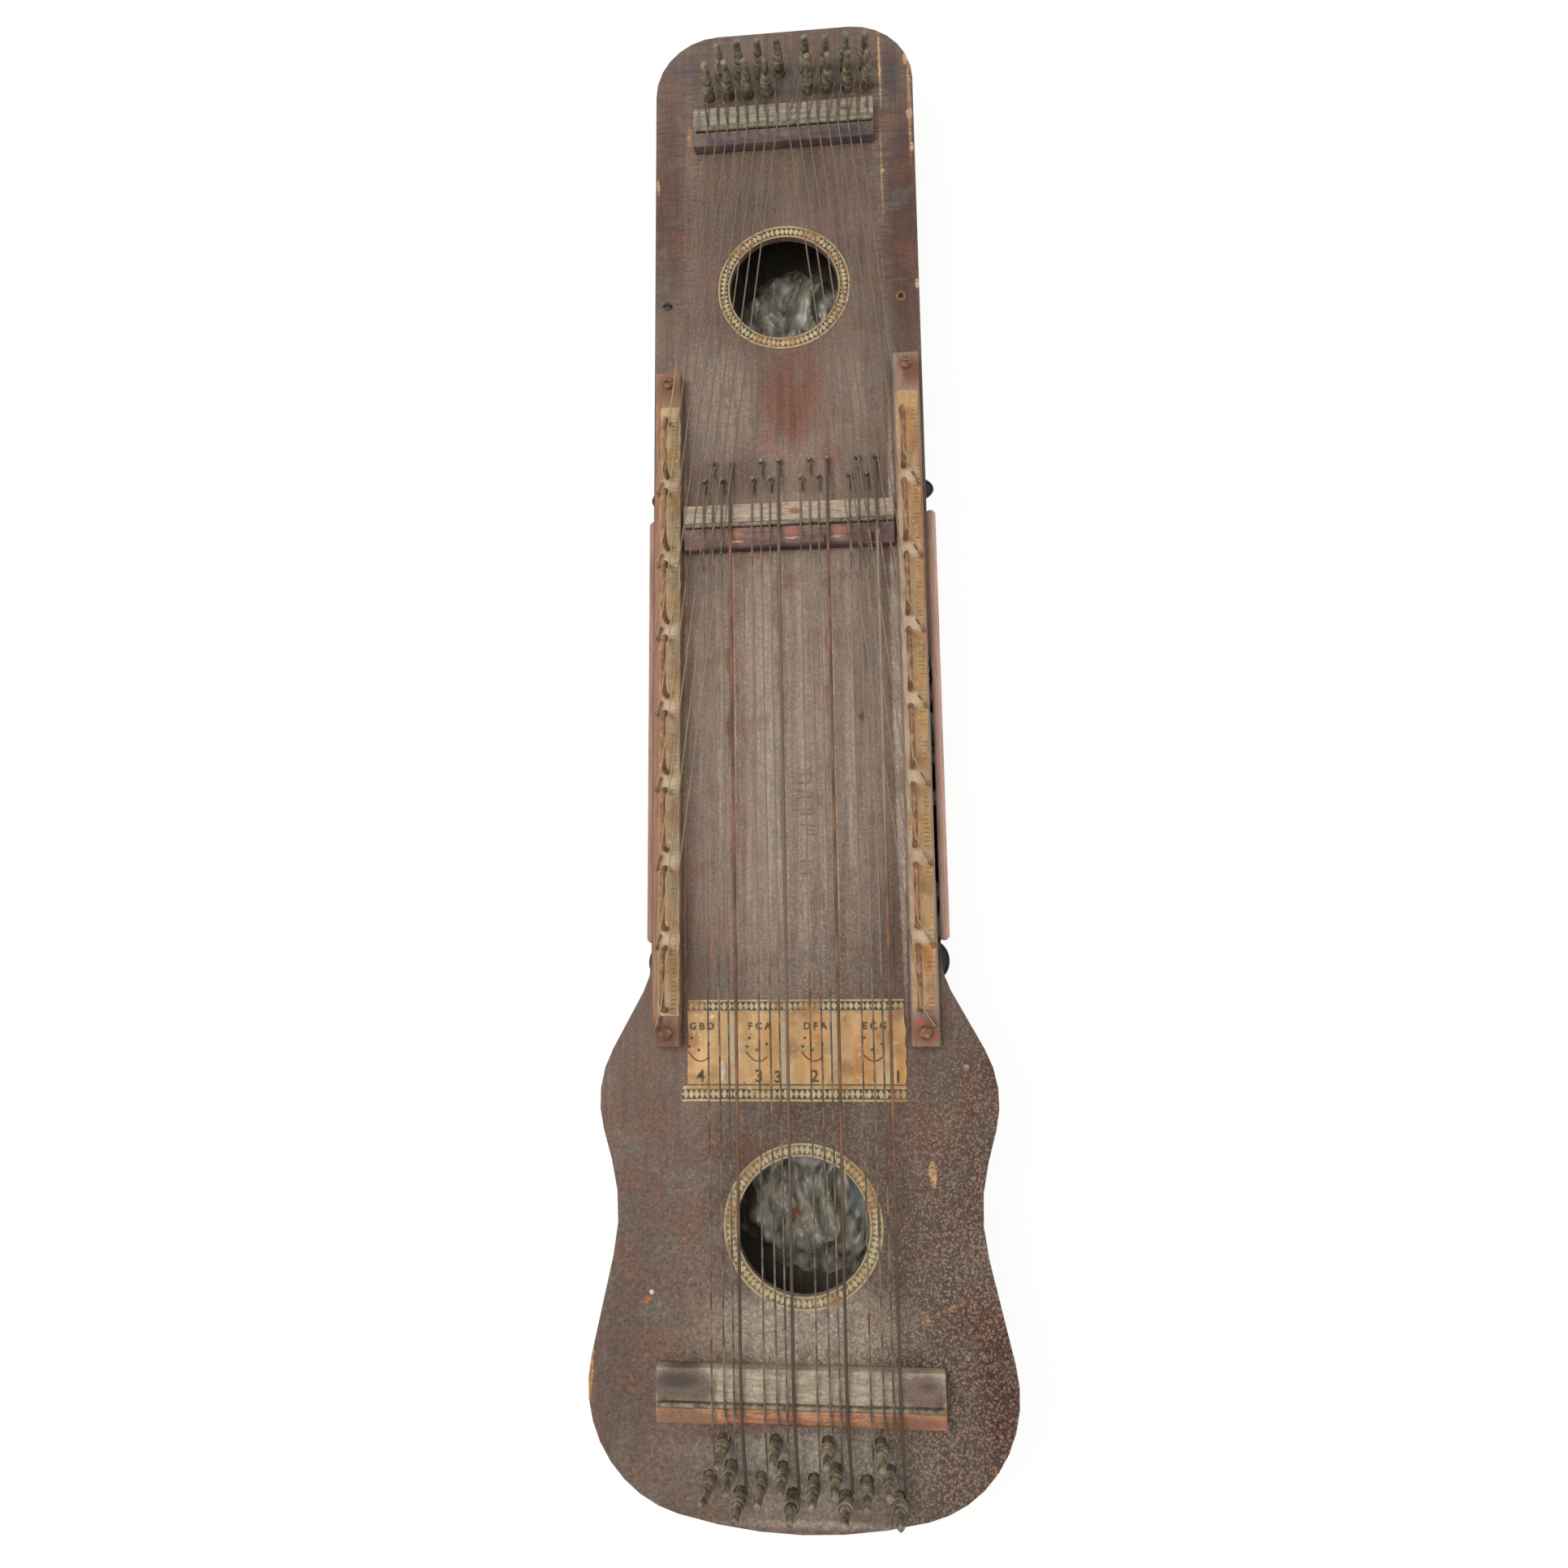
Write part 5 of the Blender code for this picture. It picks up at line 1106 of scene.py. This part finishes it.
# Rust and dust make the strings look thicker than their wire, so they are drawn so.
THICK = {0.0003: 0.0004, 0.0006: 0.0007}
routes = []
for string, (pin, x) in enumerate(MELODY):
    side, index = (-1, string) if string < 8 else (1, 15 - string)
    middle = arch_centre(index)
    over = Vector((ARCH_X["left" if side < 0 else "right"], middle - 0.0105, 0.0553))
    nail = Vector((side * 0.0598, middle - 0.0132 - 0.008, RAIL_TOP + 0.0016))
    last = nail + (over - nail).normalized() * 0.0015
    routes.append([leaving_point(pin, (x, UPPER_Y), 0.0003), (x, UPPER_Y, saddle_height(0.0003)), over, last])
wire("melody_strings_wires", routes, 0.00034, [plain_string], ["melody_strings"])

routes = {0.0003: [], 0.0006: []}
for hitch, x, pin, radius in CHORDS:
    run = hitch[1] - LOWER_Y
    points = []
    for y, z in (
        (hitch[1] - 0.0012 - radius, FACE + 0.002),
        (MIDDLE_Y + 0.0110, FOOT + 0.0055 + 0.0003 + radius),
        (MIDDLE_Y, saddle_height(radius)),
    ):
        points.append((hitch[0] + (x - hitch[0]) * (hitch[1] - y) / run, y, z))
    points += [(x, LOWER_Y, saddle_height(radius)), leaving_point(pin, (x, LOWER_Y), radius)]
    routes[radius].append(points)
wire("chord_strings_plain", routes[0.0003], THICK[0.0003], [plain_string], ["chord_strings"])
wire("chord_strings_bass", routes[0.0006], THICK[0.0006], [copper_string], ())
saddles = [[(-half, y, CREST + 0.0003), (half, y, CREST + 0.0003)] for y, half in ((UPPER_Y, 0.04275), (MIDDLE_Y, 0.0473), (LOWER_Y, 0.05825))]
wire("saddle_wires", saddles, 0.001, [dull_steel], ())

# Side strips and loops
# A strip of the same hardwood is glued along each side of the neck.
# Past both its ends a black wire loop is driven into the side, with a thin black plate of painted shade filling its
# inside.

# The right strip's colours are far paler than the left's: painted light, lifting the strip out of the shade that the
# lamp on the left leaves it in.
for side, light, dark in (("left", "#b38f7e", "#8d6d5f"), ("right", "#f0cabb", "#d0aa9a")):
    strip_finish = bare_hardwood("side_strip_hardwood_" + side, light, dark)
    strip = rounded(copied("side_strip_" + side), 0.0005, 2)
    piece("neck_strip_" + side, strip, [strip_finish], ["side_strip_" + side])

black, tree, shader, place = new_material("black_enamelled_wire_and_painted_shade")
worn = add(tree, "TexNoise", None, {"Vector": place, "Scale": 500.0, "Detail": 3.0})
tree.links.new(overlaid(tree, linear("#100e0c"), "#2f2b2a", worn, 0.3, 0.8), shader.inputs["Base Color"])
tree.links.new(add(tree, "MapRange", None, {0: worn, 3: 0.25, 4: 0.5}), shader.inputs["Roughness"])


def wall_at(y):
    """How far out the box's side is, past the shoulder where it swings out to the lower bout."""
    return 0.0635 if y > -0.1126 else 0.0922 - math.sqrt(0.0287**2 - (y + 0.1126) ** 2)


for side, sign in SIDES.items():
    for end, middle, half in (("head", 0.1088, 0.0045), ("tail", -0.1142, 0.007)):
        route = []
        for step in range(17):
            turn = math.pi * step / 16
            y = middle - half * math.cos(turn)
            route.append((sign * (wall_at(y) + 0.0005 + 0.0040 * math.sin(turn) ** 1.6), y, 0.019))
        ends = [(sign * (wall_at(y) - 0.002), y, 0.019) for _, y, _ in (route[0], route[-1])]
        name = f"side_loop_{side}_{end}"
        wire("bent_" + name, [[ends[0], *route, ends[1]]], 0.0007, [black], [name])
        # A thin black plate fills the loop as painted shade.
        shade_plate = bmesh.new()
        level = 0.019 - 0.0004
        flat = [shade_plate.verts.new((x, y, level)) for x, y, _ in (ends[0], *route, ends[1])]
        face = shade_plate.faces.new(flat)
        raised = bmesh.ops.extrude_face_region(shade_plate, geom=[face])["geom"]
        bmesh.ops.translate(shade_plate, verts=[part for part in raised if isinstance(part, bmesh.types.BMVert)], vec=(0, 0, 0.0008))
        bmesh.ops.recalc_face_normals(shade_plate, faces=shade_plate.faces)
        piece("painted_shade_in_" + name, shade_plate, [black], ())
